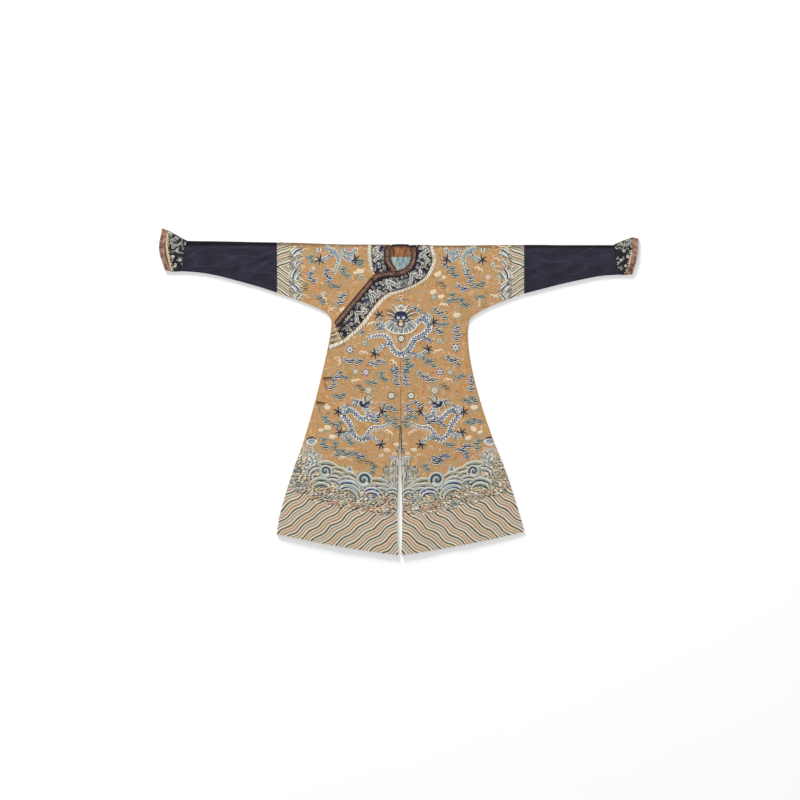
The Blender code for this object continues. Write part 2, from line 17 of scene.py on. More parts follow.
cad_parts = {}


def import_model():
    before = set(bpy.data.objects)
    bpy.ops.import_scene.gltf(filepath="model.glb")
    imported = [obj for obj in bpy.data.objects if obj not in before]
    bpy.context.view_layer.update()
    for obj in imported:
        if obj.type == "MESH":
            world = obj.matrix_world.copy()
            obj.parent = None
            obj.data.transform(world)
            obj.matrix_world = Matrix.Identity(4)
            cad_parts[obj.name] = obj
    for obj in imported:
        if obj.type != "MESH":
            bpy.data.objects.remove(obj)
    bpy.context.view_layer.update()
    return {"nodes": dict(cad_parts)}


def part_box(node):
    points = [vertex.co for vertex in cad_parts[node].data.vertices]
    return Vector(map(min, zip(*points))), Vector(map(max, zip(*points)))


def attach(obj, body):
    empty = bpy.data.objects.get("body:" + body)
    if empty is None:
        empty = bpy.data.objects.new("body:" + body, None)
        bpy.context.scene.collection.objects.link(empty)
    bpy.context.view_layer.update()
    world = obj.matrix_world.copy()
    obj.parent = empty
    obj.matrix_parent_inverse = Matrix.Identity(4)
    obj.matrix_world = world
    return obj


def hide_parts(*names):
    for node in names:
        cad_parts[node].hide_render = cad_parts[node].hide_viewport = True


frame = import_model()

# ---------------------------------------------------------------- places, from the frame

MM = 0.001
CENTRE_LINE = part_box("body_left")[0][0] - 0.15 * MM
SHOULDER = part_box("front_flap")[1][1] + 117.0 * MM  # the flap's highest corner is 117 mm down
HEM_DROP = (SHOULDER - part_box("body_left")[0][1]) / MM
SLEEVE_SEAM = (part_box("body_left")[1][0] - CENTRE_LINE) / MM
CUFF_SEAM = (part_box("sleeve_left")[1][0] - CENTRE_LINE) / MM - 10  # the cuff overlaps the sleeve by 10 mm
FACING_TOP = (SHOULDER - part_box("facing_back_neck")[1][1]) / MM
BACK_LIFT = 0.6 * MM  # the back's own embroidery holds its silk this far off the table
TOP_LAYER = 2.4 * MM  # what lies higher than this is the robe's front
ON_TABLE = 0.02 * MM  # how near to the table a stitch of the back may lie
WELD = 0.02 * MM  # corners nearer than this are one corner
VIEW_WIDTH = 3.64  # the width of floor that the camera takes in, in metres
LENS = 100.0
SENSOR = 36.0


def world(x, drop, height=0.0):
    """A plan place, with a height in metres, as a place in the frame."""
    return CENTRE_LINE + x * MM, SHOULDER - drop * MM, height


# ---------------------------------------------------------------- small helpers


def smooth(share):
    """0 below 0, 1 above 1, and an even curve between."""
    share = min(1.0, max(0.0, share))
    return share * share * (3 - 2 * share)


def linear(hex_colour):
    """An sRGB hex colour as the linear values that shaders take."""
    values = [int(hex_colour[i : i + 2], 16) / 255 for i in (1, 3, 5)]
    return [v / 12.92 if v <= 0.04045 else ((v + 0.055) / 1.055) ** 2.4 for v in values] + [1.0]


def add(tree, kind, inputs=(), output=0, stops=(), sharp=False, **settings):
    """Adds a node with its settings and links, and gives its output, or all of them where output is None.
    Inputs come in their order, or by name; each is a value, a hex colour or another node's output. Stops are
    the places and hex colours of a ramp, sharp where one colour ends as the next begins."""
    made = tree.nodes.new("ShaderNode" + kind)
    for name, value in settings.items():
        setattr(made, name, value)
    for i, (place, colour) in enumerate(stops):
        made.color_ramp.interpolation = "CONSTANT" if sharp else "LINEAR"
        stop = made.color_ramp.elements[i] if i < 2 else made.color_ramp.elements.new(place)
        stop.position = place
        stop.color = linear(colour)
    for name, value in inputs.items() if isinstance(inputs, dict) else enumerate(inputs):
        if isinstance(value, bpy.types.NodeSocket):
            tree.links.new(value, made.inputs[name])
        else:
            made.inputs[name].default_value = linear(value) if isinstance(value, str) else value
    return made.outputs if output is None else made.outputs[output]


def new_material(name, roughness, sheen=0.0, sheen_roughness=0.5, gloss=0.5, metallic=0.0):
    """A material with its Principled shader, whose plain values are set directly."""
    made = bpy.data.materials.new(name)
    made.use_nodes = True
    shader = made.node_tree.nodes["Principled BSDF"]
    shader.inputs["Roughness"].default_value = roughness
    shader.inputs["Sheen Weight"].default_value = sheen
    shader.inputs["Sheen Roughness"].default_value = sheen_roughness
    shader.inputs["Specular IOR Level"].default_value = gloss
    shader.inputs["Metallic"].default_value = metallic
    return made, made.node_tree, shader


# ---------------------------------------------------------------- cloth shells


def closed_edge_places():
    """Places along the sewn outer edges of body and sleeves, as a tree to measure distances from."""
    places = []
    for name in ("body_left", "body_right", "sleeve_left", "sleeve_right"):
        shape = bmesh.new()
        shape.from_mesh(frame["nodes"][name].data)
        bmesh.ops.remove_doubles(shape, verts=shape.verts, dist=WELD)
        for edge in shape.edges:
            a, b = (v.co for v in edge.verts)
            is_border = len(edge.link_faces) == 2 and edge.calc_face_angle() > 1.0
            middle = (a + b) / 2
            if max(a.z, b.z) > 0.1 * MM or not is_border:
                continue
            in_vent = abs(middle.x - CENTRE_LINE) < 60 * MM
            in_hem = (SHOULDER - middle.y) / MM > HEM_DROP - 100
            if in_vent or in_hem:
                continue
            steps = max(2, int((b - a).length / (8 * MM)))
            places += [a.lerp(b, k / steps) for k in range(steps + 1)]
        shape.free()
    tree = KDTree(len(places))
    for i, place in enumerate(places):
        tree.insert(place, i)
    tree.balance()
    return tree


# Soft folds of the front. Columns: x, drop, degrees below +x that the fold runs, half length,
# half width, height in mm (negative for a trough).
BODY_FOLDS = [
    (-330, 1180, 68, 240, 46, 1.5), (-215, 1220, 78, 210, 50, -1.0), (-90, 1110, 88, 260, 44, 1.3),
    (120, 1160, 94, 240, 50, 1.4), (245, 1230, 104, 200, 42, -1.1), (370, 1150, 110, 260, 48, 1.6),
    (-250, 820, 84, 230, 55, 1.0), (150, 800, 90, 260, 60, 0.9), (-60, 600, 92, 200, 48, 0.8),
    (230, 500, 60, 150, 34, 1.2), (-235, 520, 118, 150, 36, 0.9), (330, 250, 20, 130, 30, 1.1),
    (-380, 190, 164, 130, 32, 1.0), (420, 140, 4, 120, 26, -0.8), (-430, 110, 176, 110, 26, 0.7),
    (-615, 55, 153, 60, 9, 1.1), (-598, 84, 150, 70, 10, 0.9), (-642, 42, 162, 70, 9, -0.9),
    (-610, 30, 168, 60, 7, 0.8), (-760, 100, 118, 60, 16, 0.7), (-850, 84, 100, 46, 16, -0.6),
    (-700, 118, 96, 70, 18, 0.7), (-925, 90, 62, 46, 14, 0.7), (612, 60, 26, 64, 9, 1.0),
    (600, 96, 34, 66, 11, 0.9), (650, 44, 18, 70, 9, -0.8), (740, 104, 70, 60, 15, 0.7),
    (830, 88, 84, 46, 16, -0.7), (905, 84, 120, 50, 14, 0.7), (690, 84, 12, 80, 10, 0.6),
]
CLOSED_EDGES = closed_edge_places()


def sway(place):
    """How far the soft folds lift a front layer of the body, in metres; nothing at the sewn edges."""
    x, drop = (place.x - CENTRE_LINE) / MM, (SHOULDER - place.y) / MM
    if abs(x) > CUFF_SEAM:
        return 0.0
    from_edge = CLOSED_EDGES.find(Vector((place.x, place.y, 0.0)))[2] / MM
    held_side, held_top = (30, 30) if abs(x) > SLEEVE_SEAM else (110, 125)  # mm that the seams hold flat
    loose = smooth(from_edge / held_side) * smooth((drop - 5) / held_top)
    if loose == 0.0:
        return 0.0
    lift = 0.0
    for fold_x, fold_drop, degrees, length, width, height in BODY_FOLDS:
        turn = math.radians(degrees)
        run = (x - fold_x) * math.cos(turn) + (drop - fold_drop) * math.sin(turn)
        off = (drop - fold_drop) * math.cos(turn) - (x - fold_x) * math.sin(turn)
        lift += height * smooth(1.4 - abs(run) / length) * math.exp(-((off / width) ** 2))
    return max(lift, 0.0) * loose * MM


def neck_shape(x, drop):
    """Where the neck's trimmings really lie: up to the fold, round at the top, and rounded in at the flap."""
    side = 1 if x > 0 else -1
    if drop < 30:  # the solids begin 14 mm down, and the trimmings reach to 5 mm from the fold
        drop = 5 + (drop - 14) * 25 / 16
        near_neck = min(1.0, max(0.0, (70 - abs(x)) / 25))
        x -= side * 11 * (1 - smooth((drop - 5) / 36)) * near_neck
    if side < 0:  # the shoulder's trimmings curve in to end under the flap
        above, end = 64 - (x + 45.5) * 0.144, 98 - (x + 32) * 0.268
        share = smooth((drop - above) / (end - above))
        x, drop = x + 17 * share * smooth((x + 114) / 82), drop + 16 * share
    return x, drop


def fold_rise(x, drop):
    """How far the pressed fold of shoulders and sleeves stands above the solids' straighter one, in mm."""
    inner = 0.5 + 3.5 * smooth((x - 20) / 60)
    return (inner + (6.2 - inner) * smooth((abs(x) - 230) / 280)) * (1 - smooth(drop / 60))


def shell(name, material, levels=3):
    """A piece of cloth on its solid's form: the solid's rings and rows, drawn fair and softly folded."""
    shape = bmesh.new()
    shape.from_mesh(frame["nodes"][name].data)
    bmesh.ops.remove_doubles(shape, verts=shape.verts, dist=WELD)
    flat_enough = math.radians(50)
    bmesh.ops.join_triangles(
        shape, faces=shape.faces, cmp_seam=False, cmp_sharp=False, cmp_uvs=False, cmp_vcols=False,
        cmp_materials=False, angle_face_threshold=flat_enough, angle_shape_threshold=flat_enough,
    )
    crease = shape.edges.layers.float.new("crease_edge")
    for edge in shape.edges:
        if len(edge.link_faces) == 2 and edge.calc_face_angle() > math.radians(60):
            edge[crease] = 1.0
    mesh = bpy.data.meshes.new(name + "_cloth")
    shape.to_mesh(mesh)
    shape.free()
    piece = bpy.data.objects.new(name + "_cloth", mesh)
    bpy.context.scene.collection.objects.link(piece)
    finer = piece.modifiers.new("fair", "SUBSURF")
    finer.levels = finer.render_levels = levels
    evaluated = piece.evaluated_get(bpy.context.evaluated_depsgraph_get())
    fair = bpy.data.meshes.new_from_object(evaluated)
    piece.modifiers.clear()
    piece.data = fair
    for vertex in fair.vertices:
        x, drop = (vertex.co.x - CENTRE_LINE) / MM, (SHOULDER - vertex.co.y) / MM
        if name in ("neckband_shoulder", "binding_shoulder"):
            x, drop = neck_shape(x, drop)
        elif name in ("neckband_flap", "binding_flap") and drop < 30:
            x, drop = neck_shape(x, drop)
        elif name == "binding_back_neck":  # half as deep as its solid
            drop = -2.5 + (drop + 2.5) * 0.5
        elif name == "facing_back_neck" and drop < FACING_TOP + 4:  # its upper edge reaches the binding
            drop -= FACING_TOP - 5.5
        vertex.co.x, vertex.co.y, _ = world(x, drop - fold_rise(x, drop))
        if vertex.co.z > TOP_LAYER:
            vertex.co.z += sway(vertex.co)
        elif name.startswith("body"):
            vertex.co.z = max(vertex.co.z, BACK_LIFT)
    if "custom_normal" in fair.attributes:  # the solid's flat shading
        fair.attributes.remove(fair.attributes["custom_normal"])
    fair.shade_smooth()
    fair.set_sharp_from_angle(angle=math.radians(50))
    fair.materials.append(material)
    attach(piece, "root")
    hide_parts(name)
    return piece


# ---------------------------------------------------------------- stitching

FLOSS = {  # silk floss, dyed with plant colours and a little faded
    "white": "#E4E1D8", "cream": "#E2D2B2", "pale_blue": "#A9B6BC", "mid_blue": "#687F94",
    "deep_blue": "#2F426A", "navy": "#20263C", "teal": "#557C80", "pine": "#31484A",
    "foam": "#C3C6B6", "steel": "#566A7C", "night": "#33405C", "sage": "#9DA393",
    "olive": "#8C835C", "gold": "#C7A46B", "orange": "#BF7C3F", "pink": "#DDAE8E",
    "peach": "#E7C6A2", "coral": "#A9503A", "lilac": "#A196AE", "purple": "#6F5C88",
    "grey": "#A9ACA8", "ash": "#83867F", "black": "#1B1A20", "brown": "#5E4334",
    "straw": "#CDB185", "bronze": "#87683F",
}
THREADS = list(FLOSS)
STITCH_LENGTH = 5.0  # mm along the thread before it goes back through the cloth
STITCH_PITCH = 0.9  # mm between threads; real floss lies at 0.3 mm


def fair_curve(points, steps=5, closed=False):
    """A smooth curve through the points, given as pairs or complex numbers, as complex numbers."""
    points = [p if isinstance(p, complex) else complex(*p) for p in points]
    count = len(points)
    made = []
    for i in range(count if closed else count - 1):
        a, b, c, d = (
            points[(i + k) % count] if closed else points[min(max(i + k, 0), count - 1)]
            for k in (-1, 0, 1, 2)
        )
        for k in range(steps):
            t = k / steps
            made.append(
                ((2 * t * t - t - t**3) * a + (2 - 5 * t * t + 3 * t**3) * b) / 2
                + ((t + 4 * t * t - 3 * t**3) * c + (t**3 - t * t) * d) / 2
            )
    return made if closed else made + [points[-1]]


def arc(radius_from, radius_to, turn_from, turn_to, steps=12):
    """A spiral or an arc about the origin, in degrees."""
    made = []
    for k in range(steps + 1):
        share = k / steps
        radius = radius_from + (radius_to - radius_from) * share
        made.append(radius * cmath.exp(1j * math.radians(turn_from + (turn_to - turn_from) * share)))
    return made


def taper(widths, share):
    """The width at a share of the way: widths is (start, end), or (start, middle, end)."""
    if len(widths) == 2:
        return widths[0] + (widths[1] - widths[0]) * share
    near, far = (widths[0], share * 2) if share < 0.5 else (widths[2], 2 - share * 2)
    return near + (widths[1] - near) * far


class Needle:
    """Lays stitched patches on a cloth's work, each in the needle's own place, turn, size and hand."""

    def __init__(self, work, origin=0j, scale=1 + 0j, mirrored=False, height=0.0):
        self.work, self.origin, self.scale, self.mirrored, self.height = work, origin, scale, mirrored, height

    def at(self, x, drop, turn=0.0, size=1.0, mirrored=False, height=0.0):
        """A needle of its own for a motif, placed in this one's terms."""
        origin, scale = complex(x, drop), size * cmath.exp(1j * math.radians(turn))
        if self.mirrored:
            origin, scale = -origin.conjugate(), scale.conjugate()
        return Needle(
            self.work, self.origin + self.scale * origin, self.scale * scale, self.mirrored != mirrored,
            self.height + height,
        )

    def place(self, point):
        point = point if isinstance(point, complex) else complex(*point)
        return self.origin + self.scale * (-point.conjugate() if self.mirrored else point)

    def corner(self, point, height, thread=None):
        """One corner, with its place across and along the thread, which is the motif's own place at first."""
        placed = self.place(point)
        self.work["corners"].append((placed.real, placed.imag, self.height + height))
        self.work["threads"].append(thread or (point.real, point.imag))
        return len(self.work["corners"]) - 1

    def face(self, corners, thread):
        self.work["faces"].append((corners, THREADS.index(thread)))

    def patch(self, outline, threads, height=0.3, dome=0.35, centre=None):
        """A padded patch inside an outline. One thread fills it, or a list shades it from edge to middle."""
        outline = [p if isinstance(p, complex) else complex(*p) for p in outline]
        middle = sum(outline) / len(outline) if centre is None else complex(*centre)
        threads = [threads] if isinstance(threads, str) else threads
        rings = max(1, len(threads))
        last = [self.corner(p, height) for p in outline]
        count = len(outline)
        for ring in range(1, rings):
            share = ring / rings
            lift = height + dome * math.sqrt(share)
            here = [self.corner(p + (middle - p) * share, lift) for p in outline]
            for k in range(count):
                j = (k + 1) % count
                self.face((last[k], last[j], here[j], here[k]), threads[ring - 1])
            last = here
        tip = self.corner(middle, height + dome)
        for k in range(count):
            self.face((last[k], last[(k + 1) % count], tip), threads[-1])

    def disc(self, x, drop, radius, threads, height=0.3, dome=0.35, sides=12, flat=1.0):
        here = self.at(x, drop)
        rim = [complex(p.real, p.imag * flat) for p in arc(radius, radius, 0, 360, sides)[:-1]]
        here.patch(rim, threads, height, dome, (0, 0))

    def ribbon(self, path, widths, threads, height=0.3, dome=0.3):
        """Rows of thread side by side along a path. widths is (start, end), or (start, middle, end)."""
        path = [p if isinstance(p, complex) else complex(*p) for p in path]
        threads = [threads] if isinstance(threads, str) else threads
        count, bands = len(path), len(threads)
        rows = []
        walked = 0.0
        for i, point in enumerate(path):
            share = i / (count - 1)
            along = path[min(i + 1, count - 1)] - path[max(i - 1, 0)]
            across = 1j * along / (abs(along) or 1.0)
            width = taper(widths, share)
            walked += abs(point - path[max(i - 1, 0)])
            row = []
            for k in range(bands + 1):
                off = 2 * k / bands - 1
                edge = point + across * off * width / 2
                row.append(self.corner(edge, height + dome * (1 - off * off), (off * width / 2, walked)))
            rows.append(row)
        for low, high in zip(rows, rows[1:]):
            for k, thread in enumerate(threads):
                self.face((low[k], low[k + 1], high[k + 1], high[k]), thread)


# ---------------------------------------------------------------- motifs, each about its own middle


def tongue(needle, length, width, thread, bend=0.3, height=0.3):
    """A tapering lick of flame, hair or whisker along +x."""
    path = fair_curve([(0, 0), (length * 0.4, bend * length * 0.5), (length * 0.75, bend * length * 0.2),
                       (length, -bend * length * 0.4)], 3)
    needle.ribbon(path, (width, width * 0.8, 0.3), thread, height, 0.25)


def claw(needle):
    """A dragon's five-taloned foot."""
    for turn in (-128, -68, -10, 46, 104):
        talon = [(0, -2.8), (9, -3.6), (18, -2.6), (28, 1.8), (17, 2.2), (8, 2.8), (0, 2.8)]
        needle.at(0, 0, turn).patch(talon, "navy", 0.7, 0.5)
    needle.disc(0, 0, 5.2, ["navy", "deep_blue"], 1.0, 0.4, 9)


DRAGON = ("white", "white", "steel", "night")  # a body's edge, its ground and its two dark scales
NET_RIM = 6.5  # mm by which a body is wider than its scales
SCALE_FILL = 0.84  # the share of its mesh in the net that a scale fills


def scaled(needle, path, widths, row=6.6, lanes=4, height=0.45, tones=DRAGON):
    """Dark scales set in a pale net, over a white-edged body. widths is as for a ribbon."""
    edge, light, dark, deep = tones
    body = [edge, edge] + [light] * 6 + [edge, edge]
    needle.ribbon(path, tuple(w + NET_RIM for w in widths), body, height, 0.35)
    lengths = [abs(b - a) for a, b in zip(path, path[1:])]
    count = int(sum(lengths) / row)
    for r in range(count):
        left = (r + 0.5) * row
        for i, length in enumerate(lengths):
            if left <= length:
                break
            left -= length
        heading = (path[i + 1] - path[i]) / lengths[i]
        point = path[i] + heading * left
        width = taper(widths, (r + 0.5) / count)
        here_lanes = max(2, round(lanes * width / max(widths)))
        lane = width / here_lanes
        for k in range(r % 2, here_lanes, 2):
            spot = point + 1j * heading * ((k + 0.5) * lane - width / 2)
            scale = needle.at(spot.real, spot.imag, math.degrees(cmath.phase(heading)))
            reach, half = row * SCALE_FILL, lane * SCALE_FILL
            tone = deep if (r // 2 + k) % 2 else dark
            scale.patch([(-reach, 0), (0, -half), (reach, 0), (0, half)], tone, height + 0.4, 0.25)


def fins(needle, path, side):
    """The row of small flames down a dragon's back, side mm from its middle line, leaning outwards."""
    lean = cmath.exp(0.6j if side > 0 else -0.6j)
    walked = 0.0
    for a, b in zip(path, path[1:]):
        walked += abs(b - a)
        if walked < 9.0:
            continue
        walked = 0.0
        heading = (b - a) / abs(b - a)
        root = b + 1j * heading * side
        fin = needle.at(root.real, root.imag, math.degrees(cmath.phase(heading * lean)))
        fin.patch([(-3.5, 0), (1, -2.4), (9, 0), (1, 2.4)], ["white", "teal"], 0.4, 0.25)


def leg(needle, points, turn):
    """A short scaled leg, nearly hidden by its flames, and a taloned foot."""
    path = fair_curve(points, 4)
    scaled(needle, path, (9, 4), 4.6, 2, 0.5, ("white", "grey", "mid_blue", "navy"))
    for k, spot in enumerate(path[1:-2]):
        side = 1 if k % 2 else -1
        flame = needle.at(spot.real, spot.imag, turn + 180 + 46 * side, mirrored=side > 0)
        tones = (["white", "teal"], ["pale_blue", "navy"], ["white", "mid_blue"])[k % 3]
        flame.ribbon(fair_curve([(0, 0), (8, 5), (17, 3), (25, 9)], 3), (6, 5.4, 1.2), tones, 0.75, 0.3)
        if k % 3 == 0:
            flame.at(9, -4).ribbon(arc(5.6, 1.8, 90, 380, 7), (3.6, 1.6), ["pale_blue", "navy"], 0.9, 0.3)
    foot = path[-1]
    claw(needle.at(foot.real, foot.imag, turn, height=0.3))


def frontal_head(needle):
    """A dragon's face seen from the front: mane, horns, brows, muzzle and beard."""
    for side in (False, True):
        half = needle.at(0, 0, mirrored=side)
        ruff = fair_curve([(0, 76), (30, 74), (56, 62), (71, 44), (66, 24), (48, 14)], 5)
        half.patch(ruff + [complex(0, 14)], ["grey", "ash", "grey"], 0.3, 0.1, (14, 40))
        for k in range(12):
            turn = -62 + k * 8.5
            root = 30 * cmath.exp(1j * math.radians(turn))
            strand = half.at(root.real, root.imag * 1.05, turn * 0.75 - 14)
            tone = ("white", "navy", "sage", "cream", "teal", "brown")[k % 6]
            tongue(strand, 44 - 2.4 * abs(k - 5), 3.8, tone, -0.16, 0.35)
        horn = fair_curve([(13, -26), (22, -36), (27, -46), (42, -62)], 4)
        half.ribbon(horn, (8, 6, 1.5), ["cream", "white", "straw"], 0.6, 0.5)
        whisker = fair_curve([(10, 24), (24, 30), (40, 22), (56, 34), (70, 22)], 5)
        half.ribbon(whisker, (2.6, 2.2, 1.0), "white", 1.2, 0.3)
        half.ribbon(ruff, (5.5, 5.5, 3), ["white", "cream"], 0.5, 0.4)
        for k in range(16):
            share = 0.02 + k * 0.06
            root = ruff[int(share * (len(ruff) - 1))]
            inward = half.at(root.real, root.imag, math.degrees(cmath.phase(complex(0, 8) - root)) + 12)
            tongue(inward, 27, 4.0, ("navy", "white", "olive", "teal", "white")[k % 5], 0.12, 0.4)
    cap = [(-24, -26), (-22, -44), (-10, -56), (0, -60), (10, -56), (22, -44), (24, -26), (0, -20)]
    needle.patch(fair_curve(cap, 3, True), ["grey", "white", "sage", "ash"], 0.35, 0.5)
    for k in range(5):
        needle.disc(-14 + 7 * k, -40 - 5 * math.sin(k * math.pi / 4), 2.6, ["grey", "ash"], 0.9, 0.3, 7)
    jowl = [(-36, 10), (-28, -2), (28, -2), (36, 10), (32, 34), (16, 50), (0, 54), (-16, 50), (-32, 34)]
    needle.patch(fair_curve(jowl, 3, True), ["grey", "ash", "grey"], 0.6, 0.2)
    skull = [(0, -27), (15, -25), (27, -14), (30, 2), (23, 13), (12, 13), (0, 16), (-12, 13), (-23, 13),
             (-30, 2), (-27, -14), (-15, -25)]
    needle.patch(fair_curve(skull, 3, True), ["navy", "navy", "deep_blue"], 0.9, 1.0)
    muzzle = [(-13, 16), (0, 13), (13, 16), (19, 30), (12, 44), (0, 48), (-12, 44), (-19, 30)]
    muzzle = fair_curve(muzzle, 3, True)
    needle.patch(muzzle, ["navy", "brown"], 1.1, 0.5)
    needle.patch([complex(p.real * 0.6, p.imag * 0.5 + 17) for p in muzzle], ["pink", "white"], 1.6, 0.5)
    needle.patch([(-8, 15), (0, 11), (8, 15), (6, 22), (0, 24), (-6, 22)], ["straw", "gold"], 1.8, 0.6)
    needle.ribbon([(-7, 28), (0, 30), (7, 28)], (1.5, 3, 1.5), "coral", 2.0, 0.3)
    for side in (False, True):
        half = needle.at(0, 0, mirrored=side, height=1.1)
        half.ribbon(fair_curve([(30, 2), (34, 12), (29, 20), (21, 16)], 4), (3, 4.5, 3), "navy", 0.5, 0.3)
        brow = fair_curve([(4, -4), (10, -8), (20, -5), (25, -11)], 4)
        half.ribbon(brow, (1.6, 2.4, 1), "mid_blue", 0.5, 0.3)
        half.disc(11.5, 4, 7.4, ["white", "white", "grey"], 0.5, 0.7, 12, 0.9)
        half.disc(10.4, 6.5, 2.2, "black", 1.3, 0.3, 10)
        half.ribbon([(6, 36), (9, 40)], (2.4, 1.2), "white", 1.4, 0.2)
    needle.disc(0, -32, 4.4, ["pink", "coral"], 1.3, 0.4, 9)


def profile_head(needle):
    """A dragon's head from the side, facing +x, its jaw open."""
    for k in range(15):
        turn = 112 + k * 10
        strand = needle.at(-14 + 2 * math.cos(k), -4 + 2.2 * (k - 7), turn + 10)
        tone = ("white", "navy", "pale_blue", "teal", "white", "olive")[k % 6]
        tongue(strand, 52 - 2.0 * abs(k - 6), 5.2, tone, 0.22, 0.35)
    for k, tone in enumerate(("white", "navy", "sage", "white", "teal", "white", "olive")):
        strand = needle.at(6 + 3 * k, -12 - 0.6 * k, -104 + 13 * k)
        tongue(strand, 25 + 2 * k, 4.6, tone, -0.3, 0.35)
    horn = fair_curve([(-8, -14), (-22, -24), (-36, -22), (-46, -30)], 4)
    needle.ribbon(horn, (6, 5, 1.4), ["cream", "gold"], 0.7, 0.5)
    far_horn = fair_curve([(-2, -15), (-12, -29), (-26, -34)], 4)
    needle.ribbon(far_horn, (5, 4, 1.2), ["cream", "gold"], 0.7, 0.5)
    skull = [(-22, -8), (-12, -17), (2, -16), (10, -9), (22, -8), (31, -13), (36, -6), (30, 2), (14, 4),
             (8, 12), (-6, 16), (-18, 8)]
    fair_skull = fair_curve(skull, 3, True)
    needle.patch([p * 1.12 for p in fair_skull], "white", 0.6, 0.2, (-4, -2))
    needle.patch(fair_skull, ["deep_blue", "navy", "navy", "deep_blue"], 0.8, 1.0, (-4, -2))
    jaw = [(-4, 12), (10, 9), (24, 8), (32, 13), (24, 17), (8, 20), (-6, 20)]
    needle.patch(fair_curve(jaw, 3, True), ["white", "deep_blue", "deep_blue", "navy"], 0.7, 0.7)
    needle.ribbon(fair_curve([(4, 8), (16, 5.5), (27, 8), (33, 4)], 4), (4, 3, 1), "coral", 1.3, 0.3)
    face = needle.at(0, 0, height=1.2)
    face.disc(0, -6, 6.2, ["white", "white", "pale_blue"], 0.5, 0.6)
    face.disc(1, -6, 2.8, "black", 1.2, 0.3, 10)
    face.ribbon(fair_curve([(-10, -12), (-2, -16), (8, -14)], 4), (3, 3.6, 1), ["white", "teal"], 0.5, 0.3)
    face.at(28, -7).ribbon(arc(5.0, 1.4, 120, -200, 10), (2.8, 1.2), ["white", "mid_blue"], 0.5, 0.3)
    for k in range(4):
        face.patch([(12 + 5 * k, 3), (15 + 5 * k, 3), (13.6 + 5 * k, 8)], "white", 0.4, 0.2)
        tongue(needle.at(-4 + 8 * k, 19, 96 - 9 * k), 17, 3.6, ("white", "pale_blue")[k % 2])
    needle.ribbon(fair_curve([(30, -4), (44, -10), (52, -2), (64, -12)], 5), (2.4, 2, 0.8), "white", 1.2, 0.3)
    needle.ribbon(fair_curve([(28, 14), (40, 22), (50, 16), (60, 24)], 5), (2.4, 2, 0.8), "white", 1.2, 0.3)


def tail_flames(needle, path):
    """Flames fanned out at the end of a dragon's tail."""
    end, heading = path[-1], math.degrees(cmath.phase(path[-1] - path[-3]))
    for k, turn in enumerate((-50, -25, 0, 25, 50)):
        flame = needle.at(end.real, end.imag, heading + turn)
        tongue(flame, 24 - abs(k - 2) * 3, 4.6, ("white", "teal", "pale_blue")[k % 3])


def frontal_dragon(needle):
    """The front-facing dragon of the chest and back, coiled about its pearl."""
    coils = [(62, 36), (88, 8), (112, 14), (130, 46), (102, 80), (60, 104), (42, 138), (4, 170), (-34, 150),
             (-50, 110), (-72, 86), (-106, 84), (-140, 91)]
    body = fair_curve(coils, 6)
    leg(needle, [(-58, 34), (-84, 42), (-98, 24), (-100, -9)], -94)
    leg(needle, [(100, 8), (112, -14), (132, -4), (147, 22)], 40)
    leg(needle, [(-46, 122), (-72, 126), (-96, 148), (-118, 165)], 150)
    leg(needle, [(30, 156), (66, 172), (92, 168), (122, 146)], -30)
    fins(needle, body, 15)
    scaled(needle, body, (18, 25, 8))
    tail_flames(needle, body)
    pearl(needle.at(2, 98, size=1.3))
    frontal_head(needle.at(0, 0, height=1.0))


def profile_dragon(needle):
    """A side-facing dragon of the skirt, its head towards -x, after a pearl."""
    coils = [(-6, 8), (-22, 30), (-22, 56), (2, 68), (24, 56), (46, 32), (76, 32), (88, 54), (62, 84),
             (50, 120), (28, 150), (-5, 160), (-22, 128), (-46, 104), (-78, 103), (-114, 91)]
    body = fair_curve(coils, 6)
    leg(needle, [(-26, 46), (-44, 60), (-64, 50), (-82, 32)], 190)
    leg(needle, [(58, 30), (74, 10), (96, 14), (112, 33)], 40)
    leg(needle, [(52, 116), (76, 138), (92, 142), (105, 128)], -40)
    leg(needle, [(4, 160), (-26, 150), (-52, 160), (-80, 181)], 140)
    fins(needle, body, -14)
    scaled(needle, body, (15, 20, 7), lanes=3)
    tail_flames(needle, body)
    profile_head(needle.at(-3, -2, size=0.98, mirrored=True, height=1.0))


def shoulder_dragon(needle):
    """The dragon that crosses the shoulder fold: its coils, two feet and the tips of its mane."""
    tones = ("foam", "white", "steel", "teal")
    body = fair_curve([(46, 3), (18, 12), (-6, 28), (-17, 54), (-12, 82), (-4, 104)], 6)
    fins(needle, body, 10)
    scaled(needle, body, (13, 15, 5), tones=tones)
    tail_flames(needle, body)
    coil = fair_curve([(-34, 4), (-46, 26), (-70, 34), (-92, 20), (-100, 4)], 6)
    scaled(needle, coil, (14, 17, 12), tones=tones)
    tongue(needle.at(-66, 8, 100), 30, 9, "lilac", 0.3, 0.4)
    leg(needle, [(-40, 40), (-60, 58), (-78, 60), (-92, 56)], 170)
    leg(needle, [(12, 16), (26, 40), (44, 50), (66, 58)], 30)
    for k in range(5):
        tongue(needle.at(64 + 7 * k, 6, 70 + 14 * k), 24, 4.4, ("white", "teal", "pale_blue")[k % 3])


def pearl(needle):
    """A flaming pearl."""
    for k in range(8):
        tongue(needle.at(0, 0, k * 45 + 14), 19, 4.2, ("teal", "orange")[k % 2], 0.3, 0.2)
    needle.disc(0, 0, 14, ["olive", "navy", "white", "cream", "sage", "white"], 0.5, 0.5, 16)


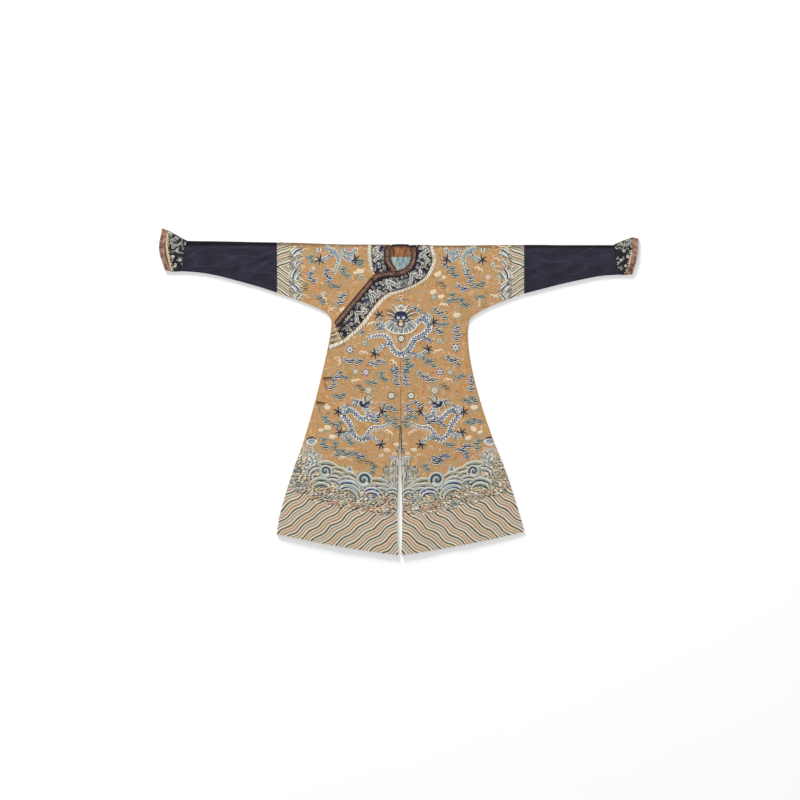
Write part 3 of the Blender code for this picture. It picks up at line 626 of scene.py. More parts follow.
def cloud(needle, turn, length, tones, rng):
    """A knotted cloud: flat lobes with dark undersides, to either side of a thin trail, and a rolled head.
    The trail runs at the turn, and the lobes lie nearly level, as a tapestry weaver works them."""
    edge, body, deep = tones
    here, heading = needle.at(0, 0, size=1.2), cmath.exp(1j * math.radians(turn))
    bend = rng.uniform(3, 7) * rng.choice((-1, 1)) * (0.4 if length < 5 else 1.0)
    lobes = max(2, round(length * 0.72))
    spots = []
    for k in range(lobes):
        off = bend * math.cos(2.4 * k / lobes) + rng.uniform(-2, 2)
        spots.append(heading * complex((k - (lobes - 1) / 2) * 14.5, off))
    wisp = heading * complex(rng.uniform(9, 14), rng.uniform(-4, 4))
    trail = [spots[0] - 5 * heading] + spots + [spots[-1] + wisp]
    here.ribbon(fair_curve(trail, 3), (5, 5.6, 2), [edge, deep, deep, edge], 0.3, 0.3)
    for k, spot in enumerate(spots):
        spot += 1j * heading * (5.6 if k % 2 else -5.6)
        turned, size = rng.uniform(-22, 22), rng.uniform(1.05, 1.3)
        lobe = here.at(spot.real, spot.imag, turned, size, mirrored=k % 2 == 0)
        cap = [complex(p.real * 1.25, p.imag * 0.74) for p in arc(7.6, 7.6, 170, 370, 8)]
        lobe.patch(cap, [edge, body], 0.4, 0.35, (0, -1))
        lobe.ribbon([(-10, -0.4), (-5, 2.4), (1, 3.2), (7, 1.8), (11, -1.8)], (2.2, 4.8, 1.6), deep, 0.6, 0.3)
        lobe.ribbon([(-6.4, -1.6), (-2, -3.4), (3, -3.0), (6, -1)], (1.4, 2.8, 1.2), deep, 0.75, 0.2)
        lobe.ribbon([(-10.5, 2.6), (-4, 6.0), (3, 6.6), (10, 4.2)], (1.8, 3.2, 1.4), edge, 0.5, 0.2)
        lobe.ribbon([(-9, 5.0), (-4, 8.2), (3, 8.9), (12, 5.6)], (0.8, 1.7, 0.8), deep, 0.45, 0.2)
    head = here.at(spots[0].real, spots[0].imag, rng.uniform(-20, 20))
    head.at(-7, 0).ribbon(arc(6.6, 2.0, 170, 500, 10), (4.4, 2.4), [deep, edge], 0.8, 0.35)


def bat(needle, wing, spots):
    """A bat, for blessings: two drooping wings."""
    for side in (False, True):
        half = needle.at(0, 0, mirrored=side)
        sweep = fair_curve([(-1, -5), (8, -8), (16, -4), (20, 5)], 3)
        half.ribbon(sweep, (7.5, 8, 2), ["cream", wing, "cream"], 0.35, 0.45)
        half.disc(13, -3, 1.5, spots, 0.9, 0.2, 6)
    needle.patch([(0, -9), (3.6, -4), (2.4, 2), (0, 5), (-2.4, 2), (-3.6, -4)], ["cream", wing], 0.6, 0.5)


def peach(needle):
    """A peach of long life with two leaves."""
    for turn in (25, 155):
        leaf = needle.at(0, 8, turn)
        leaf.patch([(0, -1.5), (8, -4), (17, 0), (8, 3)], ["sage", "olive"], 0.3, 0.25)
    outline = [(0, -6.5), (6, -8), (11, -6), (12.5, 0), (9, 6.5), (0, 9), (-9, 6.5), (-12.5, 0), (-11, -6),
               (-6, -8)]
    needle.patch(fair_curve(outline, 2, True), ["cream", "cream", "peach", "cream"], 0.4, 0.7, (2, 1))


def blossom(needle, petals, middle):
    """A flower with six petals on a ring of leaves."""
    leaf = "night" if petals in ("pale_blue", "mid_blue", "lilac") else "sage"
    for k in range(6):
        petal = needle.at(0, 0, 60 * k)
        petal.patch([(3, -2), (11, -5.5), (14, 0), (11, 5.5), (3, 2)], [petals, petals, "foam"], 0.35, 0.4)
        petal.at(0, 0, 30).patch([(10, -4.2), (17, 0), (10, 4.2)], leaf, 0.45, 0.2)
    needle.disc(0, 0, 8.2, ["white", petals, middle, middle], 0.7, 0.4, 12)


def sprig(needle, tone, rng):
    """A low spray of curled stems that fills the ground."""
    for k in range(2):
        stem = needle.at(rng.uniform(-7, 7), rng.uniform(-7, 7), rng.uniform(0, 360), rng.uniform(0.8, 1.2))
        stem.ribbon(arc(6.0, 2.2, 0, 250, 6), (2.2, 1.3), tone, 0.06, 0.12)


# ---------------------------------------------------------------- the layout of the work

SEA_TOP = 1108.0  # drop where the foam begins on the centre line, before it rises towards the sides
SEA_RISES = ((60, 180, 30), (330, 460, 110))  # from the first to the second place out, by the third, all mm
STRIPE_TOP = 1217.0  # drop where the standing-water stripes begin on the centre line
STRIPE_RISE = 0.000477  # how their top rises towards the sides, per mm of x squared

CLOUD_TONES = {  # edge, body and deep thread of each kind of cloud
    "blue": ("white", "mid_blue", "navy"),
    "deep": ("white", "pale_blue", "navy"),
    "green": ("foam", "sage", "pine"),
    "olive": ("foam", "straw", "pine"),
    "lilac": ("foam", "lilac", "night"),
    "brown": ("straw", "sage", "brown"),
}

# Clouds. Columns: x, drop, turn in degrees, length as a count, tones.
CLOUDS = [
    (-325, 143, 84, 6, "blue"), (-254, 126, 70, 4, "green"), (-298, 192, -20, 3, "green"),
    (-275, 246, -52, 6, "deep"), (-407, 68, 40, 3, "green"), (-190, 82, -8, 4, "green"),
    (-184, 396, 5, 3, "blue"), (-216, 532, -6, 7, "deep"), (-104, 538, -20, 5, "deep"),
    (38, 536, 60, 4, "green"), (126, 535, 12, 5, "green"), (238, 530, 14, 6, "blue"),
    (-80, 600, 60, 4, "green"), (-133, 626, -30, 3, "green"), (117, 600, 38, 7, "deep"),
    (-307, 626, 96, 5, "deep"), (-262, 594, 48, 4, "green"), (322, 628, 84, 6, "deep"),
    (273, 600, -60, 3, "green"), (-182, 652, 20, 3, "brown"), (203, 642, 10, 3, "brown"),
    (-276, 688, 0, 4, "green"), (332, 702, 10, 3, "green"), (190, 178, 25, 3, "brown"),
    (74, 292, -10, 3, "deep"), (178, 312, 22, 6, "deep"), (317, 150, 80, 7, "deep"),
    (238, 126, 60, 4, "green"), (206, 98, 5, 3, "blue"), (280, 200, 10, 4, "deep"),
    (236, 246, -68, 4, "green"), (286, 268, 40, 4, "green"), (362, 182, -15, 4, "olive"),
    (362, 234, -30, 3, "green"), (190, 364, -40, 3, "green"), (173, 393, 8, 3, "blue"),
    (256, 402, 82, 6, "deep"), (122, 434, -20, 3, "blue"), (-101, 374, 30, 3, "blue"),
    (-51, 738, 18, 6, "deep"), (-110, 798, -30, 4, "blue"), (-62, 789, 30, 3, "green"),
    (76, 722, -8, 3, "deep"), (38, 746, 60, 4, "deep"), (56, 782, -20, 3, "green"),
    (132, 802, 20, 4, "blue"), (190, 820, 4, 3, "blue"), (-337, 792, 40, 3, "green"),
    (-288, 816, -12, 4, "green"), (332, 806, -20, 5, "green"), (300, 710, -10, 3, "green"),
    (-288, 928, 78, 5, "olive"), (-250, 950, 8, 4, "green"), (-192, 962, 22, 4, "lilac"),
    (-170, 984, -30, 3, "brown"), (-124, 998, 20, 3, "brown"), (-127, 1026, 70, 3, "green"),
    (288, 920, -24, 6, "blue"), (302, 957, 60, 3, "lilac"), (184, 964, -12, 5, "lilac"),
    (167, 984, 8, 4, "blue"), (117, 1012, 30, 3, "green"), (-407, 150, 70, 4, "blue"),
    (430, 300, 60, 3, "olive"), (-360, 250, 20, 3, "olive"), (-21, 810, 86, 4, "olive"),
    (26, 806, 94, 4, "olive"), (-350, 905, 74, 4, "green"), (352, 905, 104, 4, "olive"),
    (-432, 188, 80, 3, "brown"), (-230, 895, 20, 3, "green"), (218, 905, -20, 3, "green"),
]
BATS = [  # x, drop, turn in degrees
    (-131, 364, -20), (-168, 496, 14), (-283, 530, 80), (-33, 540, 40), (-201, 624, -12), (217, 620, 12),
    (197, 279, 4), (173, 488, -14), (356, 116, 30), (352, 264, 90), (-369, 76, 20), (-54, 857, 30),
    (55, 857, -30), (426, 240, 20), (-262, 974, 0), (-352, 246, 40), (-310, 300, -30),
]
PEACHES = [  # x, drop, size
    (-183, 122, 1.3), (170, 136, 1.3), (149, 217, 1.2), (185, 238, 1.15), (256, 322, 1.3),
    (-263, 296, 1.15), (-334, 739, 1.3), (-331, 833, 1.3), (-361, 845, 0.9), (-310, 875, 1.2),
    (335, 742, 1.25), (332, 839, 1.25), (362, 854, 1.0), (309, 880, 1.15), (196, 150, 0.8),
    (-205, 130, 0.8),
]
BLOSSOMS = [  # x, drop, size, petals, middle
    (-230, 479, 1.15, "pale_blue", "mid_blue"), (250, 470, 1.2, "pale_blue", "teal"),
    (-163, 448, 1.1, "olive", "sage"), (-204, 579, 1.1, "olive", "cream"),
    (-157, 582, 1.1, "lilac", "grey"), (179, 580, 1.1, "lilac", "purple"), (226, 582, 1.0, "olive", "pink"),
    (176, 438, 1.1, "olive", "sage"), (-145, 664, 1.5, "olive", "peach"), (155, 664, 1.5, "olive", "peach"),
    (-178, 149, 1.0, "olive", "brown"), (150, 241, 0.9, "olive", "sage"), (-351, 224, 0.9, "pink", "olive"),
    (-80, 464, 0.9, "mid_blue", "white"), (-395, 110, 0.8, "sage", "cream"), (420, 92, 0.9, "sage", "teal"),
    (398, 150, 0.8, "peach", "coral"),
]
JEWELS = [  # x, drop, radius, threads
    (-18, 910, 13, "cream"), (-62, 936, 14, "peach"), (-27, 955, 11, "pink"), (61, 934, 13, "cream"),
    (32, 952, 11, "peach"), (20, 908, 10, "pink"), (-86, 960, 9, "cream"), (84, 958, 9, "pink"),
]
WAVE_CURLS = [  # the great spirals of the sea: x, drop, radius, opens to the right
    (-168, 1069, 37, False), (-342, 1031, 29, False), (166, 1069, 37, True), (332, 1031, 29, True),
]
WAVES = {  # crest, body, deep and shadow thread of each kind of wave
    "olive": ("white", "sage", "olive", "pine"), "grey": ("white", "grey", "ash", "navy"),
    "sea": ("white", "sage", "teal", "black"), "blue": ("white", "pale_blue", "deep_blue", "navy"),
}
BILLOWS = [  # bowed waves of the sea, the nearest last: x, drop, turn in degrees, half width, rise, kind
    (-338, 1006, 4, 56, 21, "olive"), (-394, 1018, -24, 36, 16, "grey"), (-268, 1036, 30, 46, 20, "olive"),
    (-238, 1052, 8, 46, 20, "olive"), (-300, 1066, 14, 38, 16, "grey"), (-244, 1070, 6, 42, 16, "grey"),
    (-366, 1080, -4, 46, 21, "sea"), (-90, 1086, 18, 56, 22, "olive"), (-230, 1094, 14, 48, 21, "blue"),
    (-76, 1106, 16, 48, 18, "grey"), (-216, 1116, 32, 44, 18, "olive"), (-126, 1120, 8, 38, 16, "blue"),
    (-36, 1122, 6, 30, 14, "sea"),
]


def sea_spiral(needle, radius, hand):
    """A breaking crest: a broad ribbon, shaded from foam to deep water, wound into a spiral."""
    here = needle.at(0, 0, mirrored=hand)
    here.patch(arc(radius, radius, 0, 360, 28)[:-1], ["sage", "white", "grey", "grey", "ash"], 0.25, 0.3)
    path = arc(radius * 0.88, radius * 0.12, 30, -450, 44)
    shades = ["black", "pine", "pine", "steel", "ash", "grey", "white", "sage"]  # from its inner edge out
    here.ribbon(path, (radius * 0.54, radius * 0.5, radius * 0.24), shades, 0.6, 0.7)


def billow(needle, half_width, rise, kind):
    """A bowed wave: two broad crests, one under the other, each shaded from foam down to its own shadow."""
    pale, body, deep, shadow = WAVES[kind]
    for k in range(2):
        high, wide = rise * (1 - 0.2 * k), half_width * (1 - 0.2 * k)
        low, top = -high * 0.24, -high * 0.62
        path = fair_curve([(-wide, 10), (-wide * 0.68, low), (0, top), (wide * 0.68, low), (wide, 10)], 5)
        path = [p + 0.95j * k * rise for p in path]
        needle.ribbon(path, (8, rise, 8), [pale, body, body, deep, shadow], 0.5 + 0.15 * k, 0.4)


def rock(needle, half_width, rise):
    """An arched rock of the deep, in nested outlines, with a net of small curls."""
    arch = [(-1, 0), (-0.95, -0.55), (-0.45, -1), (0.45, -1), (0.95, -0.55), (1, 0)]
    for k, tone in enumerate(("ash", "grey", "olive", "sage", "straw", "ash")):
        share = 1 - k * 0.17
        outline = [(half_width * share * across, rise * share * up) for across, up in arch]
        needle.patch(fair_curve(outline, 2), tone, 0.4 + 0.15 * k, 0.15, (0, -rise * 0.4 * share))
    for k in range(11):
        rim = arc(1, 1, 190, 350, 10)[k]
        curl = needle.at(rim.real * half_width * 0.92, rim.imag * rise * 0.86 - 4, 24 * k)
        curl.ribbon(arc(4.4, 1.6, 0, 240, 5), (2.8, 1.4), ("navy", "white", "brown")[k % 3], 1.3, 0.3)


def centre_rocks(needle, rng):
    """The earth's mountain between the skirts: upright crooked folds of shaded floss, winged on top."""
    tones = ("grey", "white", "pale_blue", "ash", "grey", "sage", "white", "pale_blue", "cream")
    edges = ("navy", "ash", "brown", "navy", "olive", "ash", "navy", "olive", "ash")
    for side in (-1, 1):
        for k in range(9):
            x = side * (5 + k * 5.6)
            top = 1004 + 8 * (k - 6)
            if k < 7:
                top = 968 + 2 * k + rng.uniform(-8, 8)
            crooked = [(x + rng.uniform(-4.5, 4.5), top + (1112 - top) * step / 6) for step in range(6)]
            path = fair_curve(crooked + [(x + side * 0.75 * k, 1112)], 3)
            needle.ribbon(path, (6.0, 7.4, 5.0), [edges[k], tones[k], tones[(k + 4) % 9]], 0.5, 0.45)
        for k in range(30):
            place = needle.at(side * rng.uniform(6, 52), rng.uniform(978, 1092), rng.uniform(0, 360))
            tone = rng.choice(("navy", "cream", "ash", "olive", "white", "brown"))
            place.ribbon(arc(5.5, 2, 0, 270, 6), (3.2, 1.6), tone, 1.1, 0.3)
        for k, tone in enumerate((["white", "teal"], ["pale_blue", "mid_blue"], ["white", "ash"])):
            wing = fair_curve([(side * 6, 986 - 4 * k), (side * 22, 966 + 4 * k), (side * 38, 970 + 6 * k),
                               (side * (56 - 5 * k), 958 + 9 * k)], 4)
            needle.ribbon(wing, (4, 8, 1.6), tone, 1.3, 0.4)


def foam_top(x):
    """The drop where the foam begins; the open ground dips towards the rocks."""
    top = SEA_TOP
    for start, end, rise in SEA_RISES:
        top -= rise * smooth((abs(x) - start) / (end - start))
    return top


def stripes_top(x):
    """The drop where the standing-water stripes begin."""
    return STRIPE_TOP - STRIPE_RISE * x * x


def foam(needle, rng):
    """Broken water above the stripes: flat lobes of every pale thread, each over a dark stroke."""
    pales = ("cream", "white", "peach", "foam", "pink", "cream")
    pales += ("straw", "white", "peach", "sage", "grey", "cream")
    darks = ("brown", "olive", "pine", "black", "olive", "night")
    lobe_step, row_step = 19.0, 9.5
    drop = 956.0
    while drop < 1240:
        x = -560.0 + rng.uniform(0, 9)
        while x < 560:
            here_x, here_drop = x + rng.uniform(-5, 5), drop + rng.uniform(-3.5, 3.5)
            x += lobe_step
            ragged = 8 * math.sin(here_x / 17) + 6 * math.sin(here_x / 7.3)
            too_high = here_drop < foam_top(here_x) + ragged
            too_low = here_drop > stripes_top(here_x) + ragged * 0.9 + 4
            if too_high or too_low:
                continue
            slope = math.copysign(12 + rng.uniform(-26, 26), here_x)
            lobe = needle.at(here_x, here_drop, slope, rng.uniform(0.8, 1.3))
            pale = rng.choice(pales)
            lobe.disc(0, 0, 11.5, [pale, pale, rng.choice(pales)], 0.4, 0.4, 10, 0.5)
            under = fair_curve([(-12, -1), (-8, 5.4), (1, 6.8), (9, 4.4), (12.5, -1)], 2)
            lobe.ribbon(under, (1.6, 3.8, 1.4), rng.choice(darks), 0.7, 0.3)
            if rng.random() < 0.5:
                roll = lobe.at(rng.uniform(-5, 5), -1)
                roll.ribbon(arc(4.6, 1.8, -170, 60, 6), (2.8, 1.4), rng.choice(darks), 0.9, 0.25)
        drop += row_step


BREAKERS = (  # crest, body and hollow thread of each kind of breaker
    ("foam", "sage", "night"), ("peach", "pink", "brown"), ("white", "pale_blue", "navy"),
    ("cream", "foam", "pine"), ("cream", "pink", "black"),
)


def breakers(needle, rng):
    """Small crests that curl over in the lower foam, each a pale comb round a dark hollow."""
    count = 64
    comb = fair_curve([(-15, 7), (-10, -3), (0, -8), (10, -5), (13, 3), (7, 6), (3, 1)], 3)
    for k in range(count):
        x = -545 + 1090 * (k + rng.random()) / count
        top, bottom = foam_top(x), stripes_top(x)
        drop, turn = top + (bottom - top) * rng.uniform(0.4, 1.08), rng.uniform(-24, 24)
        crest = needle.at(x, drop, turn, rng.uniform(0.8, 1.15), mirrored=rng.random() < 0.5, height=0.7)
        pale, body, deep = rng.choice(BREAKERS)
        crest.ribbon(comb, (3, 8, 2.4), [deep, pale, body, deep], 0.5, 0.4)
        crest.patch([(-9, 7), (-5, 0), (1, -2), (3, 4), (-1, 8)], [deep, body], 0.35, 0.3)


CORALS = [  # x, drop
    (-386, 1160), (-254, 1200), (-104, 1216), (-330, 1186), (-180, 1210), (108, 1218), (202, 1196),
    (314, 1158), (262, 1190), (-20, 1226), (24, 1222), (420, 1110), (-450, 1100),
]


def corals(needle, rng):
    """Small branches and shells that float down over the stripes."""
    for x, drop in CORALS:
        here = needle.at(x, drop, rng.uniform(-20, 20))
        for k, tone in enumerate(("peach", "cream", "pink", "navy")):
            branch = here.at(0, 0, 60 + 24 * k)
            branch.ribbon(arc(9 + k, 4, 0, 130, 6), (4.2, 1.6), [tone, "cream"], 0.5, 0.35)


def side_jewels(needle):
    """At the side seams the sea throws up a banded shell, and a fanned crest of laid strokes below it."""
    for side in (False, True):
        half = needle.at(0, 0, mirrored=side)
        conch = half.at(404, 896, 8)
        oval = [complex(p.real * 1.3, p.imag * 0.9) for p in arc(19, 19, 0, 360, 18)[:-1]]
        conch.patch(oval, ["white", "pale_blue", "grey"], 0.4, 0.5)
        brow = fair_curve([(-22, -6), (-8, -16), (10, -16), (25, -7)], 5)
        conch.ribbon(brow, (3, 9, 3), ["navy", "deep_blue"], 1.0, 0.4)
        whorl = fair_curve([(-14, -1), (0, -6), (14, 0), (6, 7)], 4)
        conch.ribbon(whorl, (2, 4.4, 1.4), ["deep_blue", "teal"], 1.0, 0.3)
        lip = fair_curve([(-16, 8), (-4, 4), (8, 10)], 4)
        conch.ribbon(lip, (1.6, 3.4, 1.4), "mid_blue", 1.0, 0.3)
        for k in range(15):
            stroke = half.at(440 - 2.2 * k, 1012 - 0.8 * k, 186 + 6.4 * k)
            tone = ("white", "grey", "ash", "white", "pale_blue", "sage", "grey")[k % 7]
            tongue(stroke, 84 - 2.4 * abs(k - 5), 8.4, tone, 0.12, 0.4 + 0.03 * k)
            for step in range(3):
                fleck = stroke.at(16 + 21 * step, 2.5 * math.sin(k + step), 50)
                tone = ("navy", "olive", "brown")[(k + step) % 3]
                fleck.ribbon([(-4, 0), (0, 1.2), (4, 0)], (1.2, 2.6, 1.0), tone, 1.3, 0.2)


def speckle(needle, rng):
    """The sea's edge climbs the side seams as a net of small pale curls."""
    places_tried = 1500
    for _ in range(places_tried):
        side = rng.choice((-1, 1))
        out, drop = rng.uniform(340, 520), rng.uniform(850, 1080)
        on_gold = drop < 880 + (430 - out) * 1.25 + rng.uniform(-16, 16)
        if on_gold or drop > foam_top(side * out) + 10:
            continue
        tone = rng.choice(("white", "grey", "sage", "cream", "teal", "grey", "white"))
        here = needle.at(side * out, drop, rng.uniform(0, 360))
        here.ribbon(arc(5.2, 1.6, 0, 280, 6), (3.4, 1.6), [tone, "grey"], 0.3, 0.25)


SLEEVE_CRESTS = [  # x, drop, turn in degrees, size
    (490, 46, -146, 1.1), (478, 96, -130, 0.7), (490, 158, -112, 1.2), (490, 182, 136, 1.1),
    (478, 252, -130, 0.8),
]


def sleeve_crests(needle, rng):
    """Crests of long shaded strokes, over broken water, that close the gold sleeve against its stripes."""
    pales = ("foam", "cream", "sage", "grey", "lilac", "peach", "straw", "white", "pink")
    for side in (False, True):
        half = needle.at(0, 0, mirrored=side)
        for k in range(230):
            out = rng.uniform(0, 1) ** 1.2
            curl = half.at(502 - 56 * out, rng.uniform(8, 246), rng.uniform(-70, 20))
            curl.disc(0, 0, 6.4, rng.choice(pales), 0.3, 0.3, 8, 0.6)
            dark = rng.choice(("navy", "olive", "ash", "brown", "teal"))
            curl.ribbon(arc(6.2, 4, 20, 190, 5), (1.2, 2.6, 1.0), dark, 0.6, 0.3)
        for x, drop, turn, size in SLEEVE_CRESTS:
            crest = half.at(x, drop, turn, size)
            for k, tone in enumerate(("ash", "white", "pale_blue", "navy", "white", "sage", "cream")):
                lick = crest.at(rng.uniform(-4, 4), (k - 3) * 4.8, 3.0 * (k - 3))
                tongue(lick, 44 - 4 * abs(k - 3), 6.0, tone, 0.16, 0.75)
        for k in range(9):
            x, drop = 452 + rng.uniform(-8, 8), 26 + 26 * k + rng.uniform(-6, 6)
            flick = half.at(x, drop, 196 + rng.uniform(-36, 36))
            tongue(flick, rng.uniform(20, 36), 4.6, ("cream", "straw", "white")[k % 3], 0.5, 0.8)


def ground_work(needle, rng):
    """Every motif that front and back share, but the dragons and the sea."""
    sprig_tones = ("straw", "olive", "sage", "grey", "bronze", "cream", "peach", "sage")
    for row in range(31):
        for column in range(52):
            x, drop = -494 + 19.5 * column + rng.uniform(-8, 8), 14 + 34 * row + rng.uniform(-12, 12)
            if drop < foam_top(x) - 10:
                sprig(needle.at(x, drop), rng.choice(sprig_tones), rng)
    for x, drop, turn, length, tone in CLOUDS:
        cloud(needle.at(x, drop), turn, length, CLOUD_TONES[tone], rng)
    for side in (-1, 1):
        cloud(needle.at(side * 24 + 2, 600), 90 + side * 6, 7, CLOUD_TONES["deep"], rng)
        cloud(needle.at(side * 32 + 2, 566), 90 - side * 30, 3, CLOUD_TONES["green"], rng)
        here = needle.at(side * 45 + 3, 688)
        here.disc(0, 0, 18, ["olive", "brown", "white", "white", "ash", "white"], 0.4, 0.5, 20)
    for x, drop, turn in BATS:
        wing, spots = ("peach", "pink", "cream")[abs(x) % 3], ("coral", "peach")[drop % 2]
        bat(needle.at(x, drop, turn), wing, spots)
    for x, drop, size in PEACHES:
        peach(needle.at(x, drop, rng.uniform(-40, 40), size))
    for x, drop, size, petals, middle in BLOSSOMS:
        blossom(needle.at(x, drop, rng.uniform(0, 60), size), petals, middle)
    for x, drop, radius, tone in JEWELS:
        jewel = needle.at(x, drop, rng.uniform(-12, 12))
        jewel.disc(0, 0, radius * 1.15, ["cream", tone, tone, "cream"], 0.4, 0.5, 14, 0.58)
        for k in (-1, 0, 1):
            jewel.disc(k * radius * 0.45, 0, 1.6, "brown", 1.0, 0.2, 6)
    for x, drop in ((-14, 940), (10, 930), (-6, 922), (16, 944)):
        needle.disc(x, drop, 8, ["grey", "navy", "mid_blue"], 0.5, 0.5, 10, 0.8)


def sea_work(needle, rng):
    """The sea: foam and net first, then waves and rocks, then what breaks over them."""
    foam(needle, rng)
    speckle(needle, rng)
    for side in (False, True):
        half = needle.at(0, 0, mirrored=side)
        for order, (x, drop, turn, half_width, rise, kind) in enumerate(BILLOWS):
            billow(half.at(x, drop, turn, height=0.09 * order), half_width, rise, kind)
        spray = [(-12, 8), (-8, -10), (-2, 0), (2, -14), (7, 0), (12, 8)]
        half.at(-230, 1024, size=1.7).patch(spray, ["foam", "grey", "steel"], 0.6, 0.4)
        rock(half.at(-66, 1074, height=0.4), 17, 66)
    centre_rocks(needle.at(0, 0, height=0.5), rng)
    for x, drop, radius, hand in WAVE_CURLS:
        sea_spiral(needle.at(x, drop, height=1.3), radius, hand)
    side_jewels(needle)
    corals(needle, rng)
    breakers(needle, rng)
    # Black and brown floss along the vent's edges where the slit begins: painted shade of the narrow slit.
    for side in (-1, 1):
        edge = [(side * (2.6 + (drop - 830) * 0.016), drop) for drop in range(822, 976, 22)]
        needle.ribbon(edge, (3, 4.4, 3), ["brown", "black", "black", "brown"], 1.2, 0.2)


def dragons(needle):
    """A frontal dragon under its crown, two on the skirt and two over the shoulders."""
    frontal_dragon(needle.at(2, 331))
    crown = needle.at(2, 247)
    crown.patch([(-6, 6), (0, -7), (6, 6), (0, 9)], ["white", "coral"], 0.5, 0.4)
    crown.ribbon(arc(15, 15, 200, 340, 8), (2, 3, 1), "white", 0.4, 0.2)
    for side in (False, True):
        tongue(crown.at(10, 2, -8, mirrored=side), 34, 4.5, "teal")
        half = needle.at(2, 0, mirrored=side)
        profile_dragon(half.at(172, 728))
        shoulder_dragon(half.at(302, 12))


# The neckband's course on the chest: free edge x and drop, then outer edge x and drop.
CHEST_BAND = [
    (34, 6, 130, 6), (43, 22, 137, 26), (47, 42, 142, 50), (45, 66, 139, 92), (37, 89, 116, 140),
    (20, 107, 70, 176), (-5, 116, 24, 195), (-68, 123, -16, 207), (-122, 138, -52, 217),
    (-166, 187, -96, 247), (-214, 245, -140, 303), (-262, 303, -196, 372), (-302, 352, -266, 434),
]
SHOULDER_BAND = [
    (-34, 6, -133, 5), (-43, 22, -133, 24), (-47, 42, -133, 44), (-45, 64, -129, 76), (-37, 88, -123, 108),
    (-20, 108, -115, 134),
]
BORDER_RIGHT = [
    (138, 4), (152, 50), (155, 72), (146, 102), (127, 139), (101, 163), (62, 185), (20, 203), (-28, 219),
    (-66, 238), (-98, 270), (-131, 309), (-164, 354), (-191, 384), (-224, 411), (-258, 440), (-324, 470),
]
BORDER_LEFT = [(-141, 4), (-141, 44), (-137, 80), (-130, 106), (-117, 132)]


def rope_border(needle, points):
    """The cream edging beside the neckband: a flat twisted rope, its tufts ragged at both sides."""
    path = fair_curve(points, 6)
    needle.ribbon(path, (15, 17, 15), ["cream", "white", "cream"], 0.5, 0.7)
    tuft_step = 6.5
    walked, count = 0.0, 0
    for a, b in zip(path, path[1:]):
        walked += abs(b - a)
        if walked < tuft_step:
            continue
        walked -= tuft_step
        count += 1
        reach = 11.5 + 2.5 * math.sin(count * 2.4)
        slant = math.degrees(cmath.phase(b - a)) - 50 + 6 * math.sin(count * 1.7)
        stroke = needle.at(b.real, b.imag, slant, height=1.0)
        tone = ("white", "olive", "cream", "ash", "white", "teal", "cream", "brown")[count % 8]
        width, height = (2.6, 0.4) if count % 2 else (5.4, 0.2)
        stroke.ribbon([(-reach, 0), (-2, 1.2), (4, 0.4), (reach, -0.6)], (1.4, width, 1.4), tone, height, 0.3)


def side_rope(needle):
    """The edging's wider end at the side seam: dark green slanting strokes on straw."""
    end = [(-334, 378), (-300, 372), (-284, 404), (-262, 440), (-300, 462), (-334, 474)]
    needle.patch(end, ["straw", "olive"], 0.3, 0.2)
    for k in range(13):
        drop = 380 + 7.2 * k
        path = fair_curve([(-332, drop + 12), (-306, drop + 3), (-290 + 3.4 * k, drop - 9)], 3)
        tone = ("teal", "cream", "olive", "black", "white", "brown")[k % 6]
        needle.ribbon(path, (2, 3.8, 1.5), tone, 0.7, 0.3)


class Course:
    """The run of a band of cloth, walked along its length: rows of free edge and outer edge places."""

    def __init__(self, rows, steps=6):
        self.inner = fair_curve([(row[0], row[1]) for row in rows], steps)
        self.outer = fair_curve([(row[2], row[3]) for row in rows], steps)
        self.walked = [0.0]
        for k in range(1, len(self.inner)):
            step = (self.inner[k] + self.outer[k] - self.inner[k - 1] - self.outer[k - 1]) / 2
            self.walked.append(self.walked[-1] + abs(step))
        self.length = self.walked[-1]

    def spot(self, walked, share):
        """A place on the band: so far along it, and so much of the way from free edge to outer edge."""
        i = max((k for k in range(len(self.walked)) if self.walked[k] <= walked), default=0)
        return self.inner[i] + (self.outer[i] - self.inner[i]) * share

    def line(self, inset):
        """A line along the band, inset mm from its free edge."""
        return [a + (b - a) / abs(b - a) * inset for a, b in zip(self.inner, self.outer)]


def dark_rims(needle, rows):
    """Fine black cords at the neck binding's free edge and along its seam to the neckband."""
    course = Course(rows)
    needle.ribbon(course.line(4.0), (6.6, 6.6, 6.6), ["black", "black", "brown", "black"], 0.2, 0.7)
    needle.ribbon(course.line(23.0), (2.8, 3.0, 2.8), ["black", "black"], 0.2, 0.6)


